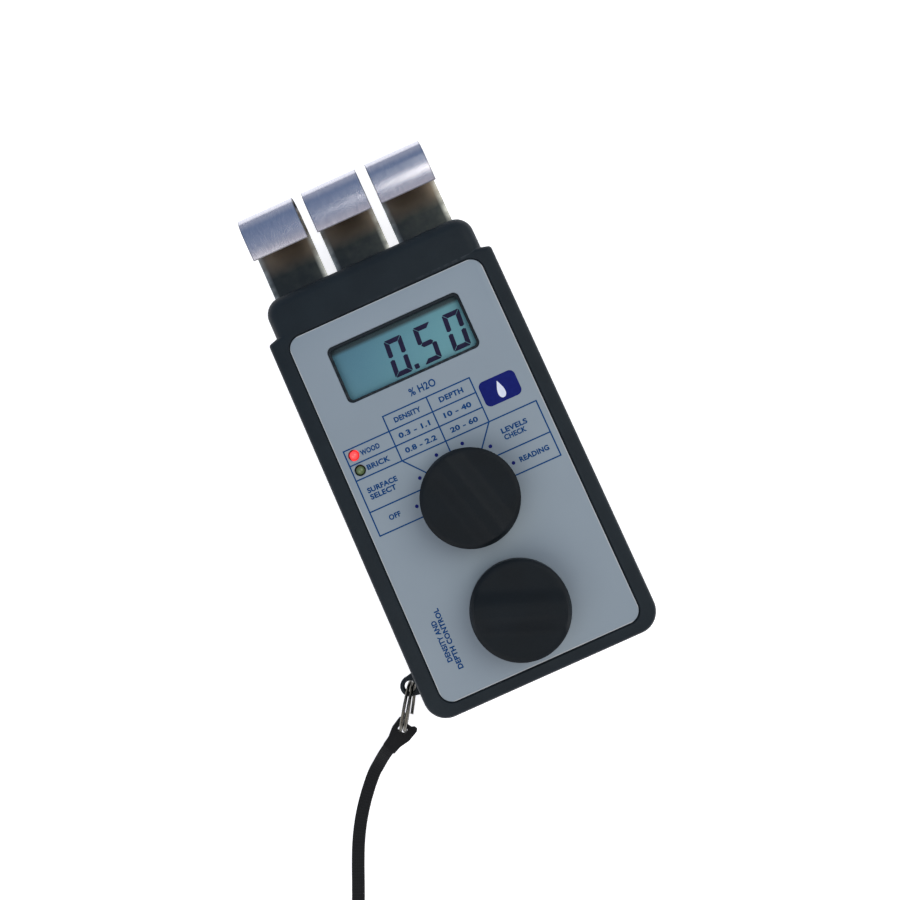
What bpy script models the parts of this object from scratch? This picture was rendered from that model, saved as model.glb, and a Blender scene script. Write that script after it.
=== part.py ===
"""Hand-held moisture meter with three sprung contact strips, two knobs, a display and a wrist strap.

The meter lies on its back: the back is at z = 0, +Z leaves the front panel and +Y points to the strips.
The origin is the middle of the back. Dimensions are in millimetres and become metres in place().
"""
import math

import bmesh
import bpy
from mathutils import Matrix, Vector

MM = 0.001
GAP = 0.3

# Case
HALF_WIDTH = 40.0
HALF_LENGTH = 73.65
HEAD_HALF_WIDTH = 37.0
SHOULDER_LOW = 59.85
SHOULDER_HIGH = 60.95
PARTING_Z = 17.0
FACE_Z = 36.0
WALL = 2.2
FLOOR_Z = 2.4
CEILING_Z = 33.6
CORNER_R = 7.5
HEAD_R = 6.0

# Front panel
PANEL_X = 0.3
PANEL_Y = -5.35
PANEL_HALF_WIDTH = 34.35
PANEL_HALF_LENGTH = 63.8
PANEL_R = 4.4
PANEL_TOP_Z = 35.8
PANEL_THICKNESS = 0.5
WINDOW_X = 0.15
WINDOW_Y = 40.75
WINDOW_HALF = (23.45, 9.9)
LED_X = -28.65
LED_YS = (15.25, 10.0)

# Controls
KNOB_X = 0.4
MODE_Y = -12.6
LEVEL_Y = -50.7
KNOB_R = 15.9
KNOB_BASE_Z = 36.7
KNOB_RIM_Z = 45.4
GRIP_HEIGHT = 2.6
SHAFT_R = 3.0
MODE_POINTER_DEG = 15.0
LEVEL_POINTER_DEG = 69.0

# Contact strips
STRIP_X = (-23.4, -0.3, 22.8)
STRIP_HALF_WIDTH = 9.85
STRIP_THICKNESS = 0.45
STRIP_Z = 23.15
STRIP_TAIL_Y = 69.9
CURL_R = 6.75
CURL_Y = 96.4
FLAP_END_Y = 87.4
FLAP_DROP = 1.4
SLOT_HALF_WIDTH = 10.3
SLOT_HALF_HEIGHT = 0.85

# Circuit board
BOARD_LOW_Z = 21.0
BOARD_TOP_Z = 22.6
SEAT_Z = BOARD_TOP_Z + GAP
BOARD_SCREWS = ((-25.0, -58.5), (25.0, -58.5), (-25.0, 20.8), (25.0, 20.8))
CASE_SCREWS = ((-33.0, -66.5), (33.0, -66.5), (-33.0, 54.0), (33.0, 54.0))
CARRIER_SCREWS = ((-11.85, 66.5), (11.25, 66.5))

# Battery and its door
DOOR_HALF_WIDTH = 15.0
DOOR_TOP_Y = -15.8
DOOR_THICKNESS = 1.8
BATTERY_Y = (-68.2, -20.0)
BATTERY_HALF_WIDTH = 13.1
BATTERY_Z = (2.5, 19.8)

# Wrist strap
LUG_X = -44.6
LUG_Y = -61.7
LUG_Z = 15.3
LUG_R = 3.4
LUG_HOLE_R = 2.1
RING_R = 8.1
RING_WIRE_R = 0.55
RING_PITCH = 1.35
RING_DROP_DEG = 25.0
EYE_DEG = -12.0
STRAP_WIDTH = 4.4
STRAP_THICKNESS = 1.5
STRAP_ROUTE = (
    (-60.9, -78.8, 7.9), (-63.1, -80.15, 6.6), (-65.3, -81.75, 4.8), (-67.6, -83.5, 3.2),
    (-70.2, -85.5, 2.45), (-73.7, -89.1, 2.3), (-77.8, -94.0, 2.3), (-81.5, -99.3, 2.3),
    (-84.8, -105.1, 2.3), (-87.7, -111.3, 2.3), (-90.4, -117.6, 2.3), (-93.2, -124.0, 2.3),
    (-96.1, -130.4, 2.3), (-99.1, -136.9, 2.3), (-102.1, -143.4, 2.3),
)
COIL_OUTER_R = 25.0
COIL_INNER_R = 19.3
COIL_HEIGHT = 4.7
CLIP_LENGTH = 8.0


def material(name, colour, roughness, metallic=0.0):
    mat = bpy.data.materials.new(name)
    mat.use_nodes = True
    shader = mat.node_tree.nodes["Principled BSDF"]
    shader.inputs["Base Color"].default_value = (*colour, 1.0)
    shader.inputs["Roughness"].default_value = roughness
    shader.inputs["Metallic"].default_value = metallic
    mat.diffuse_color = (*colour, 1.0)
    return mat


def place(name, bm, mat, pivot=(0.0, 0.0, 0.0), smooth=None):
    """Make an object of a mesh drawn in world millimetres, with its origin at pivot."""
    bmesh.ops.recalc_face_normals(bm, faces=bm.faces)
    bmesh.ops.translate(bm, verts=bm.verts, vec=-Vector(pivot))
    bmesh.ops.scale(bm, verts=bm.verts, vec=(MM, MM, MM))
    mesh = bpy.data.meshes.new(name)
    bm.to_mesh(mesh)
    bm.free()
    if smooth:
        mesh.shade_smooth()
        mesh.set_sharp_from_angle(angle=math.radians(smooth))
    if mat:
        mesh.materials.append(mat)
    obj = bpy.data.objects.new(name, mesh)
    obj.location = Vector(pivot) * MM
    bpy.context.collection.objects.link(obj)
    return obj


def apply_cut(target, name, bm, operation="DIFFERENCE"):
    """Cut a hidden tool from the target, or join it on."""
    tool = place(name, bm, None)
    tool.hide_render = True
    tool.display_type = "WIRE"
    step = target.modifiers.new(name, "BOOLEAN")
    step.operation = operation
    step.solver = "EXACT"
    step.object = tool


def loft(bm, loops):
    """Join loops of equal length by quads and close both ends."""
    rings = [[bm.verts.new(p) for p in loop] for loop in loops]
    count = len(rings[0])
    for low, high in zip(rings, rings[1:]):
        for i in range(count):
            j = (i + 1) % count
            bm.faces.new((low[i], low[j], high[j], high[i]))
    bm.faces.new(rings[0])
    bm.faces.new(rings[-1])


def rounded(points, segments=5):
    """A closed outline through (x, y, radius) corners, each corner an arc of the same point count."""
    outline = []
    count = len(points)
    for i, (x, y, r) in enumerate(points):
        here = Vector((x, y))
        before = (Vector(points[i - 1][:2]) - here).normalized()
        after = (Vector(points[(i + 1) % count][:2]) - here).normalized()
        half = before.angle(after) / 2
        reach = r / math.tan(half)
        centre = here + (before + after).normalized() * (r / math.sin(half))
        start = here + before * reach - centre
        end = here + after * reach - centre
        turn = start.angle_signed(end)
        for k in range(segments + 1):
            angle = -turn * k / segments
            spoke = Matrix.Rotation(angle, 2) @ start
            outline.append(tuple(centre + spoke))
    return outline


def rectangle(half_x, half_y, r, x=0.0, y=0.0, segments=5):
    corners = ((-half_x, -half_y), (half_x, -half_y), (half_x, half_y), (-half_x, half_y))
    return rounded([(x + a, y + b, r) for a, b in corners], segments)


def at_height(outline, z):
    return [(x, y, z) for x, y in outline]


def block(bm, x, y, z, r=0.0, segments=3):
    """A box between pairs of limits, with rounded upright edges where r is given."""
    half_x, half_y = (x[1] - x[0]) / 2, (y[1] - y[0]) / 2
    middle_x, middle_y = (x[0] + x[1]) / 2, (y[0] + y[1]) / 2
    if r:
        outline = rectangle(half_x, half_y, r, middle_x, middle_y, segments)
    else:
        outline = [(x[0], y[0]), (x[1], y[0]), (x[1], y[1]), (x[0], y[1])]
    loft(bm, [at_height(outline, z[0]), at_height(outline, z[1])])


def turned(bm, x, y, profile, sides=24):
    """A solid of revolution about an upright axis, from (radius, z) points off the axis."""
    loops = []
    for radius, z in profile:
        angles = [math.tau * k / sides for k in range(sides)]
        loops.append([(x + radius * math.cos(a), y + radius * math.sin(a), z) for a in angles])
    loft(bm, loops)


def turned_ring(bm, x, y, profile, sides=24, start=0.0, sweep=math.tau):
    """A turned solid with a hole: the (radius, z) profile is closed on itself."""
    whole = abs(sweep - math.tau) < 1e-6
    steps = sides if whole else sides + 1
    rings = []
    for k in range(steps):
        a = start + sweep * k / sides
        rings.append([bm.verts.new((x + r * math.cos(a), y + r * math.sin(a), z)) for r, z in profile])
    count = len(profile)
    for k in range(sides):
        this, following = rings[k], rings[(k + 1) % steps]
        for i in range(count):
            j = (i + 1) % count
            bm.faces.new((this[i], this[j], following[j], following[i]))
    if not whole:
        bm.faces.new(rings[0])
        bm.faces.new(rings[-1])


def along_x(bm, profile, x):
    """A (y, z) profile extruded between two x limits."""
    loft(bm, [[(x[0], y, z) for y, z in profile], [(x[1], y, z) for y, z in profile]])


def smooth_route(points, step):
    """Points about step apart on a smooth curve through the given ones."""
    knots = [Vector(p) for p in points]
    padded = [2 * knots[0] - knots[1], *knots, 2 * knots[-1] - knots[-2]]
    fine = []
    for p0, p1, p2, p3 in zip(padded, padded[1:], padded[2:], padded[3:]):
        parts = max(1, round((p2 - p1).length / step))
        for k in range(parts):
            t = k / parts
            fine.append(
                p1 + t * (p2 - p0) / 2
                + t * t * (p0 - 2.5 * p1 + 2 * p2 - p3 / 2)
                + t ** 3 * (1.5 * p1 - p0 / 2 - 1.5 * p2 + p3 / 2)
            )
    return [*fine, knots[-1]]


def cord(name, points, diameter, mat, step, resolution=2):
    curve = bpy.data.curves.new(name, "CURVE")
    curve.dimensions = "3D"
    curve.bevel_depth = diameter / 2 * MM
    curve.bevel_resolution = resolution
    curve.use_fill_caps = True
    route = smooth_route(points, step)
    spline = curve.splines.new("POLY")
    spline.points.add(len(route) - 1)
    for point, place_on_route in zip(spline.points, route):
        point.co = (*(place_on_route * MM), 1.0)
    curve.materials.append(mat)
    obj = bpy.data.objects.new(name, curve)
    bpy.context.collection.objects.link(obj)


def case_outline(inset, head_inset=None):
    """The case seen from the front: a body with round bottom corners and a narrower head."""
    head = inset if head_inset is None else head_inset
    side, bottom, neck = HALF_WIDTH - inset, -HALF_LENGTH + inset, HEAD_HALF_WIDTH - head
    foot_r = max(CORNER_R - inset, 1.0)
    head_r = max(HEAD_R - head * 0.6, 1.0)
    low, high = SHOULDER_LOW - inset, SHOULDER_HIGH - inset * 0.6
    top = HALF_LENGTH - head
    corners = [
        (-side, bottom, foot_r), (side, bottom, foot_r),
        (side, low, 1.2), (neck, high, 0.7), (neck, top, head_r),
        (-neck, top, head_r), (-neck, high, 0.7), (-side, low, 1.2),
    ]
    return rounded(corners, 4)


def make_rear_shell(plastic):
    levels = [(2.0, 0.0), (0.9, 0.35), (0.25, 1.1), (0.0, 2.2), (0.0, PARTING_Z)]
    loops = [at_height(case_outline(inset), z) for inset, z in levels]
    loops += [at_height(case_outline(WALL), z) for z in (PARTING_Z, FLOOR_Z)]
    bm = bmesh.new()
    loft(bm, loops)
    shell = place("rear_shell", bm, plastic, smooth=35)

    posts = bmesh.new()
    for x, y in CASE_SCREWS:
        turned(posts, x, y, [(3.3, 1.5), (3.2, PARTING_Z - 0.2)], 16)
    apply_cut(shell, "rear_posts", posts, "UNION")

    walls = bmesh.new()
    outer, inner, low, high = 17.0, DOOR_HALF_WIDTH + 0.6, 1.4, PARTING_Z - 0.2
    top, end = DOOR_TOP_Y + 0.9, -HALF_LENGTH + WALL - 0.6
    outline = [
        (-outer, end), (-inner, end), (-inner, top), (inner, top),
        (inner, end), (outer, end), (outer, top + 1.5), (-outer, top + 1.5),
    ]
    loft(walls, [at_height(outline, low), at_height(outline, high)])
    apply_cut(shell, "battery_walls", walls, "UNION")

    carrier_posts = bmesh.new()
    for x, y in CARRIER_SCREWS:
        turned(carrier_posts, x, y, [(2.6, 1.5), (2.5, 13.6)], 16)
    apply_cut(shell, "carrier_posts", carrier_posts, "UNION")

    lug = bmesh.new()
    sides = 10
    arc = [math.radians(90 + 180 * k / sides) for k in range(sides + 1)]
    outline = [(LUG_X + LUG_R * math.cos(a), LUG_Y + LUG_R * math.sin(a)) for a in arc]
    outline += [(-38.9, LUG_Y - LUG_R - 1.2), (-38.9, LUG_Y + LUG_R + 1.2)]
    loft(lug, [at_height(outline, LUG_Z - 1.1), at_height(outline, LUG_Z + 1.1)])
    apply_cut(shell, "strap_lug", lug, "UNION")

    cuts = bmesh.new()
    opening = DOOR_HALF_WIDTH + GAP
    block(cuts, (-opening, opening), (-HALF_LENGTH - 5, DOOR_TOP_Y + GAP), (-2.0, FLOOR_Z + 0.4))
    turned(cuts, LUG_X, LUG_Y, [(LUG_HOLE_R, LUG_Z - 4), (LUG_HOLE_R, LUG_Z + 4)], 16)
    for x, y in CASE_SCREWS:
        turned(cuts, x, y, [(3.0, -1.0), (3.0, 2.2), (1.7, 3.4), (1.7, PARTING_Z + 2)], 16)
    apply_cut(shell, "rear_cuts", cuts)

    notch = bmesh.new()
    block(notch, (-7.0, 7.0), (DOOR_TOP_Y - 0.5, DOOR_TOP_Y + 4.0), (13.0, 22.0))
    apply_cut(shell, "lead_notch", notch)


def make_front_shell(plastic):
    base = PARTING_Z + GAP
    levels = [(1.5, 4.2, FACE_Z), (0.75, 2.5, FACE_Z - 0.25), (0.2, 1.2, FACE_Z - 0.95)]
    levels += [(0.0, 0.4, FACE_Z - 2.2), (0.0, 0.0, FACE_Z - 4.4), (0.0, 0.0, base)]
    loops = [at_height(case_outline(inset, head), z) for inset, head, z in levels]
    loops.append(at_height(case_outline(WALL), base))
    loops.append(at_height(case_outline(WALL), CEILING_Z - 3.2))
    loops.append(at_height(case_outline(WALL, WALL + 2.4), CEILING_Z))
    bm = bmesh.new()
    loft(bm, loops)
    shell = place("front_shell", bm, plastic, smooth=35)

    posts = bmesh.new()
    for x, y in CASE_SCREWS:
        turned(posts, x, y, [(3.2, PARTING_Z + 0.6), (3.4, CEILING_Z + 0.8)], 16)
    for x, y in BOARD_SCREWS:
        turned(posts, x, y, [(2.4, SEAT_Z), (2.6, CEILING_Z + 0.8)], 16)
    apply_cut(shell, "front_posts", posts, "UNION")

    recess = bmesh.new()
    outline = rectangle(
        PANEL_HALF_WIDTH + 0.35, PANEL_HALF_LENGTH + 0.35, PANEL_R + 0.35, PANEL_X, PANEL_Y)
    loft(recess, [at_height(outline, PANEL_TOP_Z - 0.8), at_height(outline, FACE_Z + 2)])
    apply_cut(shell, "panel_recess", recess)

    cuts = bmesh.new()
    half_x, half_y = WINDOW_HALF[0] - 0.9, WINDOW_HALF[1] - 0.95
    outline = rectangle(half_x, half_y, 1.4, WINDOW_X, WINDOW_Y)
    loft(cuts, [at_height(outline, CEILING_Z - 2), at_height(outline, FACE_Z + 4)])
    for y in (MODE_Y, LEVEL_Y):
        turned(cuts, KNOB_X, y, [(4.9, CEILING_Z - 2), (4.9, FACE_Z + 4)], 24)
    for y in LED_YS:
        turned(cuts, LED_X, y, [(1.85, CEILING_Z - 2), (1.85, FACE_Z + 4)], 16)
    for x, y in (*CASE_SCREWS, *BOARD_SCREWS):
        turned(cuts, x, y, [(1.15, PARTING_Z - 2), (1.15, 28.5)], 12)
    for x in STRIP_X:
        block(
            cuts, (x - SLOT_HALF_WIDTH, x + SLOT_HALF_WIDTH), (HALF_LENGTH - 4, HALF_LENGTH + 4),
            (STRIP_Z - SLOT_HALF_HEIGHT, STRIP_Z + SLOT_HALF_HEIGHT))
    apply_cut(shell, "front_cuts", cuts)


def make_panel(printed):
    bm = bmesh.new()
    outline = rectangle(PANEL_HALF_WIDTH, PANEL_HALF_LENGTH, PANEL_R, PANEL_X, PANEL_Y)
    loft(bm, [at_height(outline, PANEL_TOP_Z - PANEL_THICKNESS), at_height(outline, PANEL_TOP_Z)])
    panel = place("front_panel", bm, printed)
    cuts = bmesh.new()
    low, high = PANEL_TOP_Z - 3, PANEL_TOP_Z + 3
    window = rectangle(*WINDOW_HALF, 2.0, WINDOW_X, WINDOW_Y)
    loft(cuts, [at_height(window, low), at_height(window, high)])
    for y in (MODE_Y, LEVEL_Y):
        turned(cuts, KNOB_X, y, [(7.2, low), (7.2, high)], 24)
    for y in LED_YS:
        turned(cuts, LED_X, y, [(1.85, low), (1.85, high)], 16)
    apply_cut(panel, "panel_cuts", cuts)


def make_display(glass, plastic, rubber):
    x, y = WINDOW_X, WINDOW_Y
    bm = bmesh.new()
    block(bm, (x - 25.4, x + 25.4), (y - 15.25, y + 15.25), (30.0, 32.8))
    place("display_glass", bm, glass)

    bm = bmesh.new()
    block(bm, (x - 26.9, x + 26.9), (y - 16.7, y + 16.7), (29.2, CEILING_Z - GAP), 1.0)
    holder = place("display_holder", bm, plastic)
    pocket = bmesh.new()
    block(pocket, (x - 25.7, x + 25.7), (y - 15.55, y + 15.55), (28.0, 33.05))
    block(pocket, (x - 23.3, x + 23.3), (y - 9.8, y + 9.8), (33.1, 36.0))
    apply_cut(holder, "holder_pocket", pocket)
    window = bmesh.new()
    block(window, (x - 23.3, x + 23.3), (y - 9.8, y + 9.8), (32.0, 34.0))
    apply_cut(holder, "holder_window", window)

    for name, side in (("display_contact_lower", -1), ("display_contact_upper", 1)):
        bm = bmesh.new()
        middle = y + side * 13.6
        block(bm, (x - 24.0, x + 24.0), (middle - 1.0, middle + 1.0), (SEAT_Z, 29.7))
        place(name, bm, rubber)


def make_board(laminate, black, blue, metal):
    bm = bmesh.new()
    corners = [
        (-34.0, -61.5), (34.0, -61.5), (34.0, 49.0), (28.8, 49.0),
        (28.8, 60.0), (-28.8, 60.0), (-28.8, 49.0), (-34.0, 49.0),
    ]
    outline = rounded([(x, y, 0.8) for x, y in corners], 2)
    loft(bm, [at_height(outline, BOARD_LOW_Z), at_height(outline, BOARD_TOP_Z)])
    board = place("circuit_board", bm, laminate)
    cuts = bmesh.new()
    for x, y in BOARD_SCREWS:
        turned(cuts, x, y, [(1.5, BOARD_LOW_Z - 2), (1.5, BOARD_TOP_Z + 2)], 12)
    apply_cut(board, "board_holes", cuts)

    chips = (("converter_chip", 0.0, 9.6, 26.0, 6.9), ("amplifier_chip", -17.5, -33.6, 5.0, 3.3),
             ("reference_chip", 17.5, -33.6, 5.0, 3.3))
    for name, x, y, half_x, half_y in chips:
        bm = bmesh.new()
        block(bm, (x - half_x, x + half_x), (y - half_y, y + half_y), (SEAT_Z, SEAT_Z + 3.8))
        place(name, bm, black)
    for name, x, y in (("range_trimmer", -24.0, -20.0), ("zero_trimmer", 24.0, -20.0)):
        bm = bmesh.new()
        block(bm, (x - 3.3, x + 3.3), (y - 3.3, y + 3.3), (SEAT_Z, SEAT_Z + 4.8), 0.5)
        place(name, bm, blue)
    bm = bmesh.new()
    turned(bm, -22.0, -46.5, [(4.0, SEAT_Z), (4.0, SEAT_Z + 1.2), (3.0, SEAT_Z + 1.6),
                              (3.0, SEAT_Z + 6.4), (4.0, SEAT_Z + 6.8), (4.0, SEAT_Z + 8.0)], 20)
    place("oscillator_coil", bm, metal, smooth=35)
    bm = bmesh.new()
    turned(bm, 22.0, -46.5, [(3.15, SEAT_Z), (3.15, SEAT_Z + 9.4), (2.8, SEAT_Z + 9.8)], 20)
    place("smoothing_capacitor", bm, blue, smooth=35)


def make_leds(red, green):
    for name, y, colour in (("wood_led", LED_YS[0], red), ("building_led", LED_YS[1], green)):
        bm = bmesh.new()
        dome = [(1.5 * math.cos(a), 35.2 + 1.5 * math.sin(a)) for a in
                (math.radians(15 * k) for k in range(6))]
        turned(bm, LED_X, y, [(1.9, 30.6), (1.9, 31.6), (1.5, 31.65), *dome], 16)
        place(name, bm, colour, smooth=35)


def make_knob(name, y, pointer_deg, plastic):
    """A round knob with a raised grip bar across it, hollow below and bored for its shaft."""
    sides, rim = 36, KNOB_R
    pointer = math.radians(90 + pointer_deg)
    across = Vector((-math.sin(pointer), math.cos(pointer)))

    def top_z(px, py, radius):
        off = abs(px * across.x + py * across.y)
        bar = min(max((7.6 - off) / 6.4, 0.0), 1.0)
        bar = bar * bar * (3 - 2 * bar)
        edge = min(max((rim - radius) / 1.6, 0.0), 1.0)
        return KNOB_RIM_Z + GRIP_HEIGHT * bar * edge - 0.7 * (1 - edge) ** 2

    radii = (0.8, 3.4, 6.0, 8.6, 11.2, 13.6, rim - 0.6, rim)
    bm = bmesh.new()
    loops = []
    for radius in radii:
        loop = []
        for k in range(sides):
            a = math.tau * k / sides
            px, py = radius * math.cos(a), radius * math.sin(a)
            loop.append((KNOB_X + px, y + py, top_z(px, py, radius)))
        loops.append(loop)
    below = [(rim, KNOB_BASE_Z + 0.5), (rim - 0.4, KNOB_BASE_Z), (13.6, KNOB_BASE_Z),
             (13.4, 42.4), (5.6, 42.4), (5.4, 39.6), (SHAFT_R + 0.3, 39.6), (SHAFT_R + 0.3, 43.6)]
    for radius, z in below:
        loops.append([
            (KNOB_X + radius * math.cos(math.tau * k / sides),
             y + radius * math.sin(math.tau * k / sides), z) for k in range(sides)])
    loft(bm, loops)
    place(name, bm, plastic, (KNOB_X, y, KNOB_BASE_Z), smooth=35)


def make_control(y, names, body_r, body_low, metal, black, brass):
    """What a knob turns: a body behind the panel, its threaded bush, a nut and the shaft."""
    body, nut, shaft = names
    bm = bmesh.new()
    bush_top = 38.6
    profile = [(body_r - 0.5, body_low), (body_r, body_low + 0.5), (body_r, 31.9),
               (body_r - 0.8, 32.6), (4.5, 32.6), (4.5, bush_top)]
    inner = SHAFT_R + 0.3
    profile += [(inner, bush_top), (inner, 27.5)]
    turned(bm, KNOB_X, y, profile, 24)
    place(body, bm, black, smooth=35)

    bm = bmesh.new()
    inner = 4.5 + GAP
    low, high = PANEL_TOP_Z + GAP - 0.6, 37.9
    outer, hole = [], []
    for k in range(24):
        a = math.tau * k / 24
        flat = 6.0 / math.cos((a + math.pi / 6) % (math.pi / 3) - math.pi / 6)
        outer.append((KNOB_X + flat * math.cos(a), y + flat * math.sin(a)))
        hole.append((KNOB_X + inner * math.cos(a), y + inner * math.sin(a)))
    rings = [at_height(outer, low), at_height(outer, high), at_height(hole, high), at_height(hole, low)]
    verts = [[bm.verts.new(p) for p in ring] for ring in rings]
    for i in range(4):
        this, following = verts[i], verts[(i + 1) % 4]
        for k in range(24):
            j = (k + 1) % 24
            bm.faces.new((this[k], this[j], following[j], following[k]))
    place(nut, bm, brass)

    bm = bmesh.new()
    turned(bm, KNOB_X, y, [(SHAFT_R, 27.8), (SHAFT_R, 42.9), (SHAFT_R - 0.4, 43.3)], 20)
    place(shaft, bm, metal, (KNOB_X, y, KNOB_BASE_Z), smooth=35)


def strip_profile():
    """(y, z) down the middle of a contact strip: out of the case, round the curl and back."""
    points = [(STRIP_TAIL_Y, STRIP_Z), (STRIP_TAIL_Y + 9.0, STRIP_Z), (CURL_Y - 8.0, STRIP_Z)]
    for k in range(17):
        a = math.radians(-90 + 180 * k / 16)
        points.append((CURL_Y + CURL_R * math.cos(a), STRIP_Z + CURL_R + CURL_R * math.sin(a)))
    top = STRIP_Z + 2 * CURL_R
    run = CURL_Y - FLAP_END_Y
    for k in range(1, 5):
        t = k / 4
        points.append((CURL_Y - run * t, top - FLAP_DROP * t * t))
    return points


def make_strips(steel, brass):
    middle = [Vector(p) for p in strip_profile()]
    above, below = [], []
    for i, p in enumerate(middle):
        ahead = (middle[min(i + 1, len(middle) - 1)] - middle[max(i - 1, 0)]).normalized()
        side = Vector((-ahead.y, ahead.x)) * STRIP_THICKNESS / 2
        above.append(tuple(p + side))
        below.append(tuple(p - side))
    profile = above + below[::-1]
    for place_name, x in zip(("left", "middle", "right"), STRIP_X):
        bm = bmesh.new()
        along_x(bm, profile, (x - STRIP_HALF_WIDTH, x + STRIP_HALF_WIDTH))
        pivot = (x, STRIP_TAIL_Y + 0.3, STRIP_Z)
        place("contact_strip_" + place_name, bm, steel, pivot, smooth=35)
        bm = bmesh.new()
        block(bm, (x - 4.0, x + 4.0), (57.2, 69.3), (SEAT_Z, SEAT_Z + 0.5))
        place("strip_terminal_" + place_name, bm, brass)


def make_carrier(plastic, metal):
    bm = bmesh.new()
    corners = [(-34.3, 62.3, 1.0), (34.3, 62.3, 1.0), (34.3, 71.1, 4.6), (-34.3, 71.1, 4.6)]
    outline = rounded(corners, 4)
    loft(bm, [at_height(outline, 14.0), at_height(outline, 29.0)])
    carrier = place("strip_carrier", bm, plastic)
    cuts = bmesh.new()
    for x in STRIP_X:
        block(
            cuts, (x - SLOT_HALF_WIDTH, x + SLOT_HALF_WIDTH), (60.0, 74.0),
            (STRIP_Z - SLOT_HALF_HEIGHT, STRIP_Z + SLOT_HALF_HEIGHT))
    for x, y in CARRIER_SCREWS:
        turned(cuts, x, y, [(1.4, 12.0), (1.4, 31.0)], 12)
    apply_cut(carrier, "carrier_cuts", cuts)
    for name, (x, y) in zip(("carrier_screw_left", "carrier_screw_right"), CARRIER_SCREWS):
        bm = bmesh.new()
        turned(bm, x, y, [(1.05, 14.5), (1.05, 29.25), (2.2, 29.3), (2.2, 30.4), (1.8, 30.9)], 16)
        place(name, bm, metal, smooth=35)


def make_screws(metal):
    for k, (x, y) in enumerate(CASE_SCREWS, 1):
        bm = bmesh.new()
        turned(bm, x, y, [(1.35, 0.9), (2.6, 0.9), (2.6, 1.6), (1.0, 3.4), (0.8, 27.0)], 16)
        place(f"case_screw_{k}", bm, metal, smooth=35)
    for k, (x, y) in enumerate(BOARD_SCREWS, 1):
        bm = bmesh.new()
        top = BOARD_LOW_Z - GAP
        turned(bm, x, y, [(2.0, top - 1.4), (2.4, top - 1.0), (2.4, top), (0.8, top + 0.05),
                          (0.8, top + 6.8)], 16)
        place(f"board_screw_{k}", bm, metal, smooth=35)


def make_battery(wrap, black, red_lead, black_lead, plastic):
    bm = bmesh.new()
    half, (low_y, high_y), (low, high) = BATTERY_HALF_WIDTH, BATTERY_Y, BATTERY_Z
    middle = (low + high) / 2
    outline = rectangle(half, (high - low) / 2, 2.2, 0.0, middle, 3)
    loft(bm, [[(x, y, z) for x, z in outline] for y in (low_y, high_y)])
    place("battery", bm, wrap, smooth=35)

    bm = bmesh.new()
    outline = rectangle(12.4, 7.4, 3.0, 0.0, middle, 3)
    loft(bm, [[(x, y, z) for x, z in outline] for y in (high_y + GAP, high_y + 3.6)])
    place("battery_clip", bm, black, smooth=35)

    for name, side, mat in (("red_lead", 1, red_lead), ("black_lead", -1, black_lead)):
        start_y = high_y + 3.6 + GAP
        route = ((3.0 * side, start_y, 16.9), (3.0 * side, start_y + 1.7, 17.5),
                 (3.2 * side, start_y + 4.0, 17.9), (3.4 * side, start_y + 6.0, 18.8),
                 (3.4 * side, start_y + 7.0, 20.6))
        cord(name, route, 1.3, mat, 1.3)

    bm = bmesh.new()
    end = -HALF_LENGTH + GAP
    top = GAP + DOOR_THICKNESS
    profile = [(DOOR_TOP_Y, GAP), (DOOR_TOP_Y, top), (end, top), (end + 0.3, 1.2), (end + 1.5, GAP)]
    along_x(bm, profile, (-DOOR_HALF_WIDTH, DOOR_HALF_WIDTH))
    door = place("battery_door", bm, plastic)
    grip = bmesh.new()
    for k in range(5):
        ridge_y = -62.0 + 2.2 * k
        block(grip, (-6.0, 6.0), (ridge_y, ridge_y + 0.9), (-1.0, GAP + 0.5))
    apply_cut(door, "door_grip", grip)


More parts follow.
